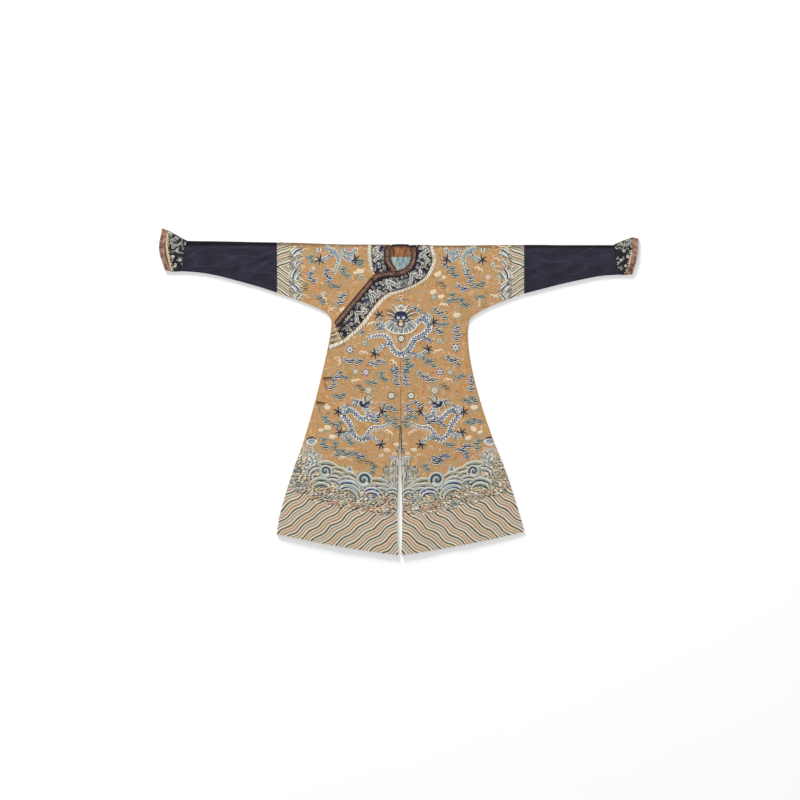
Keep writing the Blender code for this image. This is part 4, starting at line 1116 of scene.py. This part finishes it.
def band_curls(needle, rows, rng, near=0.42, far=0.95):
    """Pale coiled dragons and cloud curls that nearly hide the neckband's dark satin."""
    course = Course(rows)
    spot = course.spot
    dragon_step, curl_step = 108, 15.5
    walked = 12.0
    while walked < course.length - 70:
        coil = [spot(walked + 9 * k, (near + far) / 2 + 0.19 * math.sin(k * 1.25)) for k in range(8)]
        scaled(needle, fair_curve(coil, 3), (6, 9, 3), 5.0, 2, 0.5, ("white", "grey", "ash", "black"))
        head = needle.at(coil[0].real, coil[0].imag, rng.uniform(0, 360), 0.8)
        for k in range(6):
            tongue(head.at(0, 0, 60 * k), 17, 4.4, ("white", "grey", "sage")[k % 3])
        head.disc(0, 0, 5, ["white", "purple"], 0.9, 0.5, 10)
        walked += dragon_step
    walked = 4.0
    while walked < course.length - 4:
        for share in (near, near + 0.19, far - 0.19, far - 0.01):
            place = spot(walked + rng.uniform(-5, 5), share + rng.uniform(-0.05, 0.05))
            curl = needle.at(place.real, place.imag, rng.uniform(0, 360), rng.uniform(0.75, 1.1))
            tone = rng.choice(("grey", "white", "grey", "sage", "cream", "ash"))
            other = rng.choice(("ash", "grey"))
            if rng.random() < 0.12:
                curl.disc(0, 0, 8, rng.choice(("deep_blue", "purple", "mid_blue")), 0.3, 0.3, 7, 0.7)
            else:
                curl.ribbon(arc(6.6, 2.0, 0, 270, 7), (5.4, 2.4), [tone, other], 0.35, 0.4)
                curl.at(5, -3, 160).ribbon(arc(5.0, 2.0, 0, 200, 5), (3.4, 1.4), tone, 0.4, 0.3)
            if rng.random() < 0.1:
                curl.disc(8, 0, 3, ["pink", "peach"], 0.6, 0.3, 7)
        walked += curl_step


CUFF_BLOSSOMS = [  # x, drop, size, petals, middle
    (1016, 30, 0.6, "lilac", "night"), (1034, 56, 0.5, "foam", "coral"), (1003, 72, 0.5, "grey", "coral"),
    (1024, 98, 0.5, "ash", "pink"),
]
CUFF_EDGES = {  # the edging along a cuff's binding, wearer's left and then right. Columns: x, drop.
    False: [(1055, -62), (1057, -30), (1058, 0), (1053, 40), (1045, 75), (1040, 110), (1041, 128)],
    True: [(1056, -62), (1063, -30), (1065, 0), (1061, 40), (1053, 75), (1045, 110), (1042, 128)],
}


def cuff_curls(needle, rng):
    """A coiled dragon, curls and flowers on the horse-hoof cuffs, with a ragged edging at the binding."""
    pales = ("cream", "white", "sage", "pink", "grey", "ash", "sage", "grey")
    for side in (False, True):
        half = needle.at(0, 0, mirrored=side)
        for row in range(17):
            for column in range(7):
                if rng.random() < 0.36:
                    continue
                x, drop = 984 + 13.5 * column + rng.uniform(-5, 5), -76 + 13.5 * row + rng.uniform(-5, 5)
                curl = half.at(x, drop, rng.uniform(0, 360), rng.uniform(0.8, 1.15))
                curl.ribbon(arc(6.8, 2.0, 0, 270, 7), (4.2, 1.6), [rng.choice(pales), "ash"], 0.35, 0.35)
        coil = [(1042, -52), (1022, -58), (1008, -42), (1020, -26), (1040, -18), (1038, 0), (1016, 4),
                (998, -6)]
        tones = ("grey", "sage", "ash", "black")
        scaled(half.at(0, 0, height=0.5), fair_curve(coil, 4), (6, 8, 2), 5.0, 2, 0.5, tones)
        for k in range(7):
            tongue(half.at(1042, -52, 51 * k, height=0.6), 15, 4.2, ("grey", "sage", "ash")[k % 3])
        for x, drop, size, petals, middle in CUFF_BLOSSOMS:
            blossom(half.at(x, drop, rng.uniform(0, 60), size, height=0.5), petals, middle)
        edge = fair_curve(CUFF_EDGES[side], 6)
        half.ribbon(edge, (6, 11 if side else 7, 6), ["olive", "straw", "straw", "cream"], 0.9, 0.4)
        for k, spot in enumerate(edge):
            tuft = half.at(spot.real - 1, spot.imag, 180 + rng.uniform(-30, 30))
            tongue(tuft, rng.uniform(8, 15), 4.2, ("straw", "olive", "cream", "brown")[k % 4], 0.1, 0.9)


def back_neckband(needle, rng):
    """The neckband's run behind the neck, with its rope edging."""
    rows = [(-44, 3, -133, 3), (-34, 20, -124, 46), (0, 30, 0, 104), (34, 20, 124, 46), (44, 3, 133, 3)]
    course = Course(rows, 10)
    middle = [course.spot(walked, 0.5) for walked in course.walked]
    needle.ribbon(middle, (88, 74, 88), ["brown", "navy", "navy", "navy"], 0.4, 0.3)
    band = needle.at(0, 0, height=0.6)
    band_curls(band, rows, rng, 0.3, 0.9)
    rope_border(band, [(-141, 4), (-131, 52), (-72, 100), (0, 113), (72, 100), (131, 52), (141, 4)])


def new_work():
    """Stitching not yet laid: its corners, their places along the thread, and its faces."""
    return {"corners": [], "threads": [], "faces": []}


class Ground:
    """The cloths that stitches are laid on, with what covers them."""

    def __init__(self, pieces, below=False):
        corners, faces, self.names = [], [], []
        for piece in pieces:
            start = len(corners)
            corners += [v.co.copy() for v in piece.data.vertices]
            for polygon in piece.data.polygons:
                faces.append([start + v for v in polygon.vertices])
                self.names.append(piece.name)
        self.tree = BVHTree.FromPolygons(corners, faces)
        self.below = below

    def surface(self, x, drop):
        """The height of the cloth at a plan place and that cloth's name, or None where it turns under."""
        start = world(x, drop, -0.1 if self.below else 0.1)
        spot, _, index, _ = self.tree.ray_cast(Vector(start), Vector((0, 0, 1 if self.below else -1)))
        if spot is None or (spot.z > 1 * MM if self.below else spot.z < 2.5 * MM):
            return None
        return spot.z, self.names[index]


PILE = 0.55  # the share of its drawn height to which a stitch stands up on the front
PRESSED_PILE = 0.12  # the same on the back, under the robe's weight


def lay(name, work, ground, cloths, flosses, stitched, thickness=PILE):
    """Makes the work of each cloth, without what would hang over an edge, and lists it in stitched."""
    spots = [ground.surface(x, drop) for x, drop, _ in work["corners"]]
    held = [spot is not None and spot[1] in cloths for spot in spots]
    sign = -1 if ground.below else 1
    verts = [
        world(x, drop, max(spot[0] + sign * height * thickness * MM, ON_TABLE) if good else 0.0)
        for (x, drop, height), spot, good in zip(work["corners"], spots, held)
    ]
    kept = {cloth: [] for cloth in sorted(cloths)}
    for corners, tone in work["faces"]:
        if not all(held[c] for c in corners):
            continue
        heights = [spots[c][0] for c in corners]
        if max(heights) - min(heights) > 1.2 * MM:  # it would bridge a step between two cloths
            continue
        a, b, c = (verts[k] for k in corners[:3])
        turn = (b[0] - a[0]) * (c[1] - b[1]) - (b[1] - a[1]) * (c[0] - b[0])
        kept[spots[corners[0]][1]].append((corners if turn * sign > 0 else corners[::-1], tone))
    for cloth, faces in kept.items():
        if not faces:
            continue
        places = {c: k for k, c in enumerate(sorted({c for corners, _ in faces for c in corners}))}
        mesh = bpy.data.meshes.new(name)
        corner_rows = [[places[c] for c in corners] for corners, _ in faces]
        mesh.from_pydata([verts[c] for c in places], [], corner_rows)
        lie = mesh.uv_layers.new(name="thread")
        along = [work["threads"][c] for c in places]
        for loop in mesh.loops:
            lie.data[loop.index].uv = along[loop.vertex_index]
        used = sorted({tone for _, tone in faces})
        for tone in used:
            mesh.materials.append(flosses[tone])
        mesh.polygons.foreach_set("material_index", [used.index(tone) for _, tone in faces])
        mesh.shade_smooth()
        piece = bpy.data.objects.new(f"{name}_{cloth.removesuffix('_cloth')}", mesh)
        bpy.context.scene.collection.objects.link(piece)
        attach(piece, "root")
        stitched.setdefault(cloth, []).append(piece)


# ---------------------------------------------------------------- materials


def position(tree):
    """The plan place of a point in mm: x from the centre line, y as the drop from the shoulder fold."""
    place = add(tree, "TexCoord", output="Object")
    shifted = add(tree, "VectorMath", [place, (CENTRE_LINE, SHOULDER, 0.0)], operation="SUBTRACT")
    return add(tree, "VectorMath", [shifted, (1000.0, -1000.0, 1000.0)], operation="MULTIPLY")


def total(tree, *terms):
    """The sum of terms, each of them the product of its parts."""
    made = None
    for term in terms:
        product = term[0]
        for part in term[1:]:
            product = add(tree, "Math", [product, part], operation="MULTIPLY")
        made = product if made is None else add(tree, "Math", [made, product], operation="ADD")
    return made


def layered(tree, ground, *layers):
    """A ground colour with others laid over it in turn, each given by its mask, strength and colour."""
    for mask, strength, colour in layers:
        share = total(tree, (mask, strength))
        ground = add(tree, "Mix", {0: share, 6: ground, 7: colour}, output=2, data_type="RGBA")
    return ground


def mottle(tree, place, size, detail=2.0, stretch=(1.0, 1.0, 1.0)):
    """Uneven dye, wear or fibre, 0 to 1, in marks about size mm across."""
    stretched = add(tree, "VectorMath", [place, stretch], operation="MULTIPLY")
    return add(tree, "TexNoise", {"Vector": stretched, "Scale": 1.0 / size, "Detail": detail}, output="Fac")


def swell(tree, along, length):
    """An even wave, -1 to 1, every length mm."""
    return add(tree, "Math", [total(tree, (along, 2 * math.pi / length))], operation="SINE")


def threads(tree, place, pitch, angle=0.0, wander=0.0):
    """Ridges pitch mm apart, 0 to 1, that run square to the angle."""
    x, y, _ = add(tree, "SeparateXYZ", [place], output=None)
    turn = math.radians(angle)
    across = total(tree, (x, math.cos(turn)), (y, math.sin(turn)))
    if wander:
        across = total(tree, (across,), (mottle(tree, place, 14.0), wander))
    return total(tree, (swell(tree, across, pitch), 0.5), (0.5,))


def dress(tree, shader, colour, relief, depth):
    """Gives a shader its colour, one for all or a pattern's, and its relief of 0 to 1, depth mm deep."""
    if isinstance(colour, str):
        shader.inputs["Base Color"].default_value = linear(colour)
    else:
        tree.links.new(colour, shader.inputs["Base Color"])
    raised = add(tree, "Bump", {"Height": relief, "Strength": 1.0, "Distance": depth * MM})
    tree.links.new(raised, shader.inputs["Normal"])


STRIPES = [  # one repeat of the standing-water stripes, in plies of laid floss
    (0.00, "#0F1620"), (0.077, "#9DA79B"), (0.115, "#D8D0BF"), (0.173, "#6A6242"), (0.231, "#D2C7B2"),
    (0.269, "#D0AA90"), (0.346, "#5E7672"), (0.397, "#D8D0BF"), (0.50, "#35261B"), (0.577, "#B79A6A"),
    (0.615, "#D6CDBA"), (0.679, "#6F6B4C"), (0.737, "#D4C8B2"), (0.776, "#CDA68C"), (0.846, "#76482A"),
    (0.897, "#D6CEBD"),
]
SLEEVE_STRIPES = [  # one repeat of the finer stripes where the gold sleeve ends
    (0.00, "#161D28"), (0.11, "#CFC6B0"), (0.24, "#A5763F"), (0.33, "#D2C9B4"), (0.47, "#565033"),
    (0.57, "#C9BB9A"), (0.70, "#5B7671"), (0.79, "#D3C9B4"),
]
SEA_PATCHES = [  # the broken water's threads, by how often each comes up
    (0.0, "#3A4658"), (0.13, "#8B9284"), (0.28, "#CFC3A8"), (0.43, "#9DA39C"), (0.56, "#D3AE90"),
    (0.66, "#6C8580"), (0.76, "#D8D0BE"), (0.88, "#7F7A60"),
]
STRIPE_TURN = 36.0  # degrees below the horizontal, falling away from the centre line
STRIPE_REPEAT = 78.0  # mm, square to the stripes
STRIPE_PLIES = 16  # strands of laid floss in one repeat
SLEEVE_REPEAT = 50.0  # mm, down the sleeve
SLEEVE_EDGE = 492.0  # mm from the centre line, where the sleeve's stripes begin


def water_stripes(tree, place):
    """The hem's standing-water stripes: their colour, a mask that is 1 on them, and the place across them."""
    x, drop, _ = add(tree, "SeparateXYZ", [place], output=None)
    out = add(tree, "Math", [x], operation="ABSOLUTE")
    turn = math.radians(STRIPE_TURN)
    along = total(tree, (out, math.cos(turn)), (drop, math.sin(turn)))
    across = total(tree, (out, -math.sin(turn)), (drop, math.cos(turn)))
    waved = total(tree, (across,), (swell(tree, along, 98.0), 4.2), (mottle(tree, place, 80.0, 3.0), 16.0))
    share = add(tree, "Math", [total(tree, (waved, 1 / STRIPE_REPEAT))], operation="FRACT")
    colour = add(tree, "ValToRGB", [share], stops=STRIPES, sharp=True)
    top = total(tree, (x, x, -STRIPE_RISE), (STRIPE_TOP,))
    return colour, add(tree, "Math", [drop, top], operation="GREATER_THAN"), waved


def sleeve_stripes(tree, place):
    """The fine stripes where the gold sleeve ends, which open like a fan from mid seam, with a mask."""
    x, drop, _ = add(tree, "SeparateXYZ", [place], output=None)
    out = add(tree, "Math", [x], operation="ABSOLUTE")
    inward = total(tree, (562.0,), (out, -1.0))
    below_middle = add(tree, "Math", [drop, 103.0], operation="GREATER_THAN")
    slope = total(tree, (below_middle, -1.07), (0.42,))
    across = total(tree, (inward, slope), (swell(tree, inward, 60.0), 1.6), (drop,))
    share = add(tree, "Math", [total(tree, (across, 1 / SLEEVE_REPEAT))], operation="FRACT")
    colour = add(tree, "ValToRGB", [share], stops=SLEEVE_STRIPES, sharp=True)
    edge = total(tree, (swell(tree, drop, 58.0), 5.0), (SLEEVE_EDGE,))
    beyond = add(tree, "Math", [out, edge], operation="GREATER_THAN")
    on_sleeve = add(tree, "Math", [drop, 340.0], operation="LESS_THAN")
    return colour, total(tree, (beyond, on_sleeve))


def painted_fold_shade(tree, place):
    """1 along the pressed fold of the shoulders and sleeves, where shade is painted, and 0 from 20 mm below.
    The fold stands 6 mm high at the wearer's right cuff and falls 4 mm below straight left of the neck."""
    x, drop, _ = add(tree, "SeparateXYZ", [place], output=None)
    rise = add(tree, "Clamp", [total(tree, (x, 0.012)), -6.0, 0.0])
    dip = add(tree, "MapRange", {"Value": x, "From Min": 20.0, "From Max": 80.0, "To Max": 4.0})
    ragged = mottle(tree, place, 34.0, 3.0)
    below = total(tree, (drop,), (rise, -1.0), (dip, -1.0), (4.5,), (ragged, -9.0))
    fades = {"Value": below, "From Min": 5.0, "From Max": 20.0, "To Min": 1.0, "To Max": 0.0}
    return add(tree, "MapRange", fades, interpolation_type="SMOOTHSTEP")


def centre_seam_shade(tree, place):
    """1 in the dip where two widths of silk are sewn at the centre line, where shade is painted, and 0 from
    2.5 mm beside it.
    """
    x, _, _ = add(tree, "SeparateXYZ", [place], output=None)
    beside = add(tree, "Math", [x], operation="ABSOLUTE")
    return add(tree, "MapRange", {"Value": beside, "From Min": 2.5, "From Max": 1.0})


def sea_ground(tree, place):
    """Broken water between the curls: small patches of every pale thread, with a few dark ones."""
    cells = add(tree, "TexVoronoi", {"Vector": place, "Scale": 1 / 6.0}, output="Color", feature="F1")
    pick, _, _ = add(tree, "SeparateXYZ", [cells], output=None)
    return add(tree, "ValToRGB", [pick], stops=SEA_PATCHES, sharp=True)


def sea_ground_mask(tree, place):
    """1 between the sea's ragged upper edge and the stripes."""
    x, drop, _ = add(tree, "SeparateXYZ", [place], output=None)
    out = add(tree, "Math", [x], operation="ABSOLUTE")
    top = total(tree, (SEA_TOP - 13.0,), (mottle(tree, place, 22.0), 30.0))
    for start, end, rise in SEA_RISES:
        slope = {"Value": out, "From Min": start, "From Max": end, "To Max": rise}
        risen = add(tree, "MapRange", slope, interpolation_type="SMOOTHSTEP")
        top = total(tree, (top,), (risen, -1.0))
    return add(tree, "Math", [drop, top], operation="GREATER_THAN")


def gold_silk():
    """Plain-weave silk tapestry in faded imperial gold: close matt weft, a little mottled by age and
    flecked with paler wefts, which gives the eye a warm, dry, slightly uneven ground."""
    made, tree, shader = new_material("gold_silk", 0.62, 0.12, sheen_roughness=0.45, gloss=0.25)
    place = position(tree)
    rosy = {"Value": mottle(tree, place, 46.0), "From Min": 0.42, "From Max": 0.68}
    mossy = {"Value": mottle(tree, place, 38.0, 2.0, (1.0, 1.6, 1.0)), "From Min": 0.5, "From Max": 0.7}
    pale_weft = mottle(tree, place, 6.0, 2.0, (0.7, 1.4, 1.0))
    dark_weft = mottle(tree, place, 5.3, 2.0, (1.5, 0.7, 1.0))
    stripe, on_stripe, across_stripes = water_stripes(tree, place)
    worn_stripe = layered(tree, stripe, (mottle(tree, place, 16.0, 3.0), 0.22, "#CDB48F"))
    cuff_stripe, on_cuff = sleeve_stripes(tree, place)
    colour = layered(
        tree, "#AC7D46",
        (mottle(tree, place, 70.0, 3.0), 1.0, "#C2955D"),
        (add(tree, "MapRange", rosy), 0.6, "#C98C60"),
        (add(tree, "MapRange", mossy), 0.55, "#A38F60"),
        (add(tree, "Math", [pale_weft, 0.57], operation="GREATER_THAN"), 0.6, "#CFBD9C"),
        (add(tree, "Math", [dark_weft, 0.60], operation="GREATER_THAN"), 0.4, "#8A6A43"),
        (mottle(tree, place, 240.0, 2.0, (1.7, 0.6, 1.0)), 0.5, "#B98A55"),
        (sea_ground_mask(tree, place), 1.0, sea_ground(tree, place)),
        (on_stripe, 1.0, worn_stripe),
        (on_cuff, 1.0, cuff_stripe),
        # Painted shade along the shoulder fold.
        (painted_fold_shade(tree, place), 0.62, "#3E382D"),
        # Painted shade in the dip of the centre seam.
        (centre_seam_shade(tree, place), 0.6, "#5B3A22"),
    )
    # Wefts and warps really lie about 0.4 mm apart, too fine to show, so they are drawn coarser.
    weft, warp = threads(tree, place, 1.4, 90.0), threads(tree, place, 1.1)
    plies = swell(tree, across_stripes, STRIPE_REPEAT / STRIPE_PLIES)
    cockle = mottle(tree, place, 9.0, 4.0)
    weave = total(tree, (weft, 0.7), (warp, 0.3), (plies, on_stripe, 0.9), (cockle, 0.9))
    dress(tree, shader, colour, weave, 0.16)
    return made


def ribbed_silk():
    """Navy silk pleated into fine upright ribs: a close grooved sheen, with painted highlights on the creases
    and painted shade at the fold.
    """
    made, tree, shader = new_material("navy_ribbed_silk", 0.5, 0.06, sheen_roughness=0.35, gloss=0.2)
    place = position(tree)
    ribs = threads(tree, place, 3.0, 0.0, 1.2)
    pleats = add(tree, "Math", [threads(tree, place, 19.0, 0.0, 9.0), 5.0], operation="POWER")
    crease = crease_lines(tree, place)
    shades = [(0.30, "#1B1925"), (0.52, "#211F2D"), (0.75, "#2C293A")]
    ground = add(tree, "ValToRGB", [mottle(tree, place, 60.0, 3.0, (0.8, 1.3, 1.0))], stops=shades)
    colour = layered(
        tree, ground,
        (ribs, 0.22, "#3B3748"),
        (pleats, 0.12, "#3D3950"),
        # Painted highlight along the creases.
        (crease, 0.3, "#45415A"),
        # Painted shade, near black, along the shoulder fold.
        (painted_fold_shade(tree, place), 1.0, "#020203"),
    )
    dress(tree, shader, colour, total(tree, (ribs,), (mottle(tree, place, 1.6), 0.25), (crease, 4.0)), 0.35)
    return made


def crease_lines(tree, place):
    """1 along soft wandering creases that mostly follow the sleeve, where a highlight is painted, and 0
    between them.
    """
    turn = {"Vector": place, "Angle": math.radians(9)}
    tilted = add(tree, "VectorRotate", turn, rotation_type="Z_AXIS")
    wander = mottle(tree, tilted, 110.0, 1.0, (0.6, 1.7, 1.0))
    away = add(tree, "Math", [total(tree, (wander,), (-0.5,))], operation="ABSOLUTE")
    fades = {"Value": away, "From Max": 0.07, "To Min": 1.0, "To Max": 0.0}
    line = add(tree, "MapRange", fades, interpolation_type="SMOOTHSTEP")
    return total(tree, (line, mottle(tree, place, 150.0)))


def black_satin():
    """Black-blue satin ground of the neckband and cuffs: long floats that catch a cool soft light."""
    made, tree, shader = new_material("black_satin", 0.45, 0.06, sheen_roughness=0.3, gloss=0.2)
    place = position(tree)
    shades = [(0.3, "#17131A"), (0.6, "#221D26"), (0.8, "#2F2933")]
    colour = add(tree, "ValToRGB", [mottle(tree, place, 26.0, 3.0)], stops=shades)
    floats = threads(tree, place, 0.7, 60.0, 2.0)  # satin floats really lie 0.1 mm apart, too fine to show
    dress(tree, shader, colour, floats, 0.08)
    return made


def brown_brocade():
    """Brown brocade of the bindings: a dull chestnut twill with a small paler lozenge, and painted shade at
    the fold.
    """
    made, tree, shader = new_material("brown_brocade", 0.55, 0.08, sheen_roughness=0.4, gloss=0.2)
    place = position(tree)
    lozenge = total(tree, (threads(tree, place, 7.0, 45.0), threads(tree, place, 7.0, -45.0)))
    figure = add(tree, "Math", [lozenge, 0.42], operation="GREATER_THAN")
    rubbed = {"Value": mottle(tree, place, 11.0, 4.0), "From Min": 0.36, "From Max": 0.64}
    colour = layered(
        tree, "#452A22",
        (add(tree, "MapRange", rubbed), 1.0, "#86614F"),
        (figure, 0.45, "#A58A78"),
        # Painted shade along the shoulder fold.
        (painted_fold_shade(tree, place), 1.0, "#15100F"),
    )
    twill = threads(tree, place, 1.0, 30.0)  # really 0.3 mm apart, too fine to show
    dress(tree, shader, colour, total(tree, (twill,), (figure, 0.6)), 0.12)
    return made


def rose_brocade():
    """Rubbed rose-tan brocade of the cuffs' bindings: paler and softer than the neck's, faintly figured."""
    made, tree, shader = new_material("rose_brocade", 0.6, 0.08, sheen_roughness=0.4, gloss=0.2)
    place = position(tree)
    figure = add(tree, "Math", [mottle(tree, place, 9.0), 0.52], operation="GREATER_THAN")
    shades = [(0.36, "#4A3023"), (0.46, "#7C5644"), (0.56, "#9A7464"), (0.7, "#B89484")]
    ground = add(tree, "ValToRGB", [mottle(tree, place, 20.0, 4.0)], stops=shades)
    colour = layered(tree, ground, (figure, 0.25, "#C4A492"))
    twill = threads(tree, place, 1.0, 30.0)  # really 0.3 mm apart, too fine to show
    dress(tree, shader, colour, total(tree, (twill,), (figure, 0.6)), 0.12)
    return made


def lining_damask():
    """Pale blue silk damask of the lining: smooth satin flowers on a duller ground, seen down the neck."""
    made, tree, shader = new_material("lining_damask", 0.4, 0.2, sheen_roughness=0.4, gloss=0.4)
    place = position(tree)
    figure = add(tree, "Math", [mottle(tree, place, 16.0), 0.53], operation="GREATER_THAN")
    shades = [(0.34, "#4F6F77"), (0.5, "#7C9698"), (0.66, "#A9B6AC")]
    ground = add(tree, "ValToRGB", [mottle(tree, place, 26.0, 3.0, (2.2, 0.6, 1.0))], stops=shades)
    colour = layered(tree, ground, (figure, 0.4, "#A9B8B4"))
    dress(tree, shader, colour, threads(tree, place, 0.9, 35.0), 0.06)
    return made


def facing_silk():
    """Tan silk that faces the inside of the neck, rubbed and a little stained where it was worn, with painted
    shade at the fold.
    """
    made, tree, shader = new_material("facing_silk", 0.5, 0.2, sheen_roughness=0.4, gloss=0.3)
    place = position(tree)
    shades = [(0.34, "#4E2A17"), (0.48, "#83502F"), (0.68, "#B5815A")]
    ground = add(tree, "ValToRGB", [mottle(tree, place, 22.0, 4.0, (2.0, 0.5, 1.0))], stops=shades)
    # Painted shade along the top, at the fold.
    colour = layered(tree, ground, (painted_fold_shade(tree, place), 0.8, "#2C1A12"))
    dress(tree, shader, colour, threads(tree, place, 1.0, 90.0, 1.0), 0.08)
    return made


def floss(name, colour):
    """Silk floss laid side by side: each patch's threads run along it and catch the light together."""
    made, tree, shader = new_material("floss_" + name, 0.5, 0.08, sheen_roughness=0.35, gloss=0.25)
    along = add(tree, "UVMap", uv_map="thread")
    lie = threads(tree, along, STITCH_PITCH, 0.0, 0.5)
    ends = threads(tree, along, STITCH_LENGTH, 78.0, 2.0)
    dress(tree, shader, colour, total(tree, (lie,), (ends, 0.35)), 0.14)
    return made


def gilt_brass():
    """Cast brass buttons, gilt long ago: rubbed bright on the high parts, brown in the chased ones."""
    made, tree, shader = new_material("gilt_brass", 0.32, metallic=1.0)
    place = position(tree)
    chased = total(tree, (threads(tree, place, 3.2, 45.0), threads(tree, place, 3.2, -45.0)))
    rubbed = total(tree, (chased, 0.4), (mottle(tree, place, 2.4, 3.0), 0.6))
    shades = [(0.25, "#4A331B"), (0.55, "#8A6635"), (0.8, "#C59B58")]
    dress(tree, shader, add(tree, "ValToRGB", [rubbed], stops=shades), chased, 0.35)
    return made


def dark_cord():
    """Round silk cord of the button loops: two dark brown plies twisted hard, dry and slightly fuzzy."""
    made, tree, shader = new_material("dark_cord", 0.7, 0.3, sheen_roughness=0.5, gloss=0.2)
    place = position(tree)
    twist = threads(tree, place, 2.6, 52.0)
    dress(tree, shader, layered(tree, "#1F1412", (twist, 1.0, "#4A3024")), twist, 0.5)
    return made


# ---------------------------------------------------------------- camera, floor and lights


def camera_and_stage():
    lens = bpy.data.cameras.new("camera")
    lens.lens = LENS
    lens.sensor_width = SENSOR
    camera = bpy.data.objects.new("camera", lens)
    middle_x, middle_y, _ = world(-2.3, 708)
    camera.location = (middle_x, middle_y, VIEW_WIDTH * LENS / SENSOR)
    bpy.context.scene.collection.objects.link(camera)
    bpy.context.scene.camera = camera

    bpy.ops.mesh.primitive_plane_add(size=30)
    floor = bpy.context.object
    floor.name = "floor"
    floor.location.z = -0.5 * MM
    paper, _, shader = new_material("white_studio_paper", 0.9)
    shader.inputs["Base Color"].default_value = linear("#FBFBFB")
    shader.inputs["Specular IOR Level"].default_value = 0.0
    shader.inputs["Emission Color"].default_value = linear("#FFFFFF")
    shader.inputs["Emission Strength"].default_value = 0.07
    floor.data.materials.append(paper)

    bpy.context.scene.view_settings.view_transform = "Standard"
    world_light = bpy.data.worlds.new("studio")
    world_light.use_nodes = True
    world_light.node_tree.nodes["Background"].inputs["Color"].default_value = (1, 1, 1, 1)
    world_light.node_tree.nodes["Background"].inputs["Strength"].default_value = 0.60
    bpy.context.scene.world = world_light

    for name, place, size, power in (  # metres and watts
        ("key", (-5.0, 14.2, 2.8), 2.6, 5000),
        ("top", (0.0, -1.0, 9.0), 5.0, 60),
    ):
        light = bpy.data.lights.new(name, "AREA")
        light.size = size
        light.energy = power
        lamp = bpy.data.objects.new(name, light)
        lamp.location = place
        lamp.rotation_euler = (-Vector(place)).to_track_quat("-Z", "Y").to_euler()
        bpy.context.scene.collection.objects.link(lamp)


# ---------------------------------------------------------------- the robe


def main():
    camera_and_stage()
    gold = gold_silk()
    navy = ribbed_silk()
    satin = black_satin()
    brocade = brown_brocade()
    rose = rose_brocade()
    brass = gilt_brass()
    cord = dark_cord()
    pieces = []
    for name in ("body_left", "body_right", "front_flap"):
        pieces.append(shell(name, gold))
    for side in ("left", "right"):
        pieces.append(shell(f"sleeve_{side}", navy, 2))
        pieces.append(shell(f"cuff_{side}", satin, 2))
        pieces.append(shell(f"cuff_binding_{side}", rose, 2))
    for name in ("neckband_flap", "neckband_shoulder"):
        pieces.append(shell(name, satin, 2))
    for name in ("binding_flap", "binding_shoulder", "binding_back_neck"):
        pieces.append(shell(name, brocade, 2))
    for name in ("neck", "collarbone", "underarm", "side_upper", "side_lower"):
        shell(f"button_{name}", brass, 2)
        shell(f"loop_{name}", cord, 2)
    pieces.append(shell("facing_back_neck", facing_silk(), 2))
    pieces.append(shell("lining_back_neck", lining_damask(), 2))

    flosses = [floss(name, colour) for name, colour in FLOSS.items()]
    front = Ground(pieces)
    back = Ground(pieces, below=True)
    golds = {"body_left_cloth", "body_right_cloth", "front_flap_cloth"}
    bands = {"neckband_flap_cloth", "neckband_shoulder_cloth"}

    stitched = {}
    for side, ground, thickness in (("front", front, PILE), ("back", back, PRESSED_PILE)):
        flip = side == "back"
        work = new_work()
        ground_work(Needle(work, mirrored=flip), random.Random(11))
        lay(f"{side}_clouds", work, ground, golds, flosses, stitched, thickness)
        work = new_work()
        dragons(Needle(work, mirrored=flip))
        lay(f"{side}_dragons", work, ground, golds, flosses, stitched, thickness)
        work = new_work()
        sea_work(Needle(work, mirrored=flip), random.Random(5))
        sleeve_crests(Needle(work), random.Random(8))
        if side == "back":
            back_neckband(Needle(work), random.Random(9))
        lay(f"{side}_sea", work, ground, golds, flosses, stitched, thickness)
    work = new_work()
    needle = Needle(work)
    rope_border(needle, BORDER_RIGHT)
    rope_border(needle, BORDER_LEFT)
    side_rope(needle)
    lay("rope", work, front, golds, flosses, stitched)
    work = new_work()
    needle = Needle(work)
    dark_rims(needle, CHEST_BAND)
    dark_rims(needle, SHOULDER_BAND)
    bindings = {"binding_flap_cloth", "binding_shoulder_cloth"}
    lay("rims", work, front, bands | bindings, flosses, stitched)
    work = new_work()
    needle = Needle(work)
    band_curls(needle, CHEST_BAND, random.Random(3))
    band_curls(needle, SHOULDER_BAND, random.Random(4))
    lay("curls", work, front, bands, flosses, stitched)
    work = new_work()
    cuff_curls(Needle(work), random.Random(6))
    lay("curls", work, front, {"cuff_left_cloth", "cuff_right_cloth"}, flosses, stitched)


main()
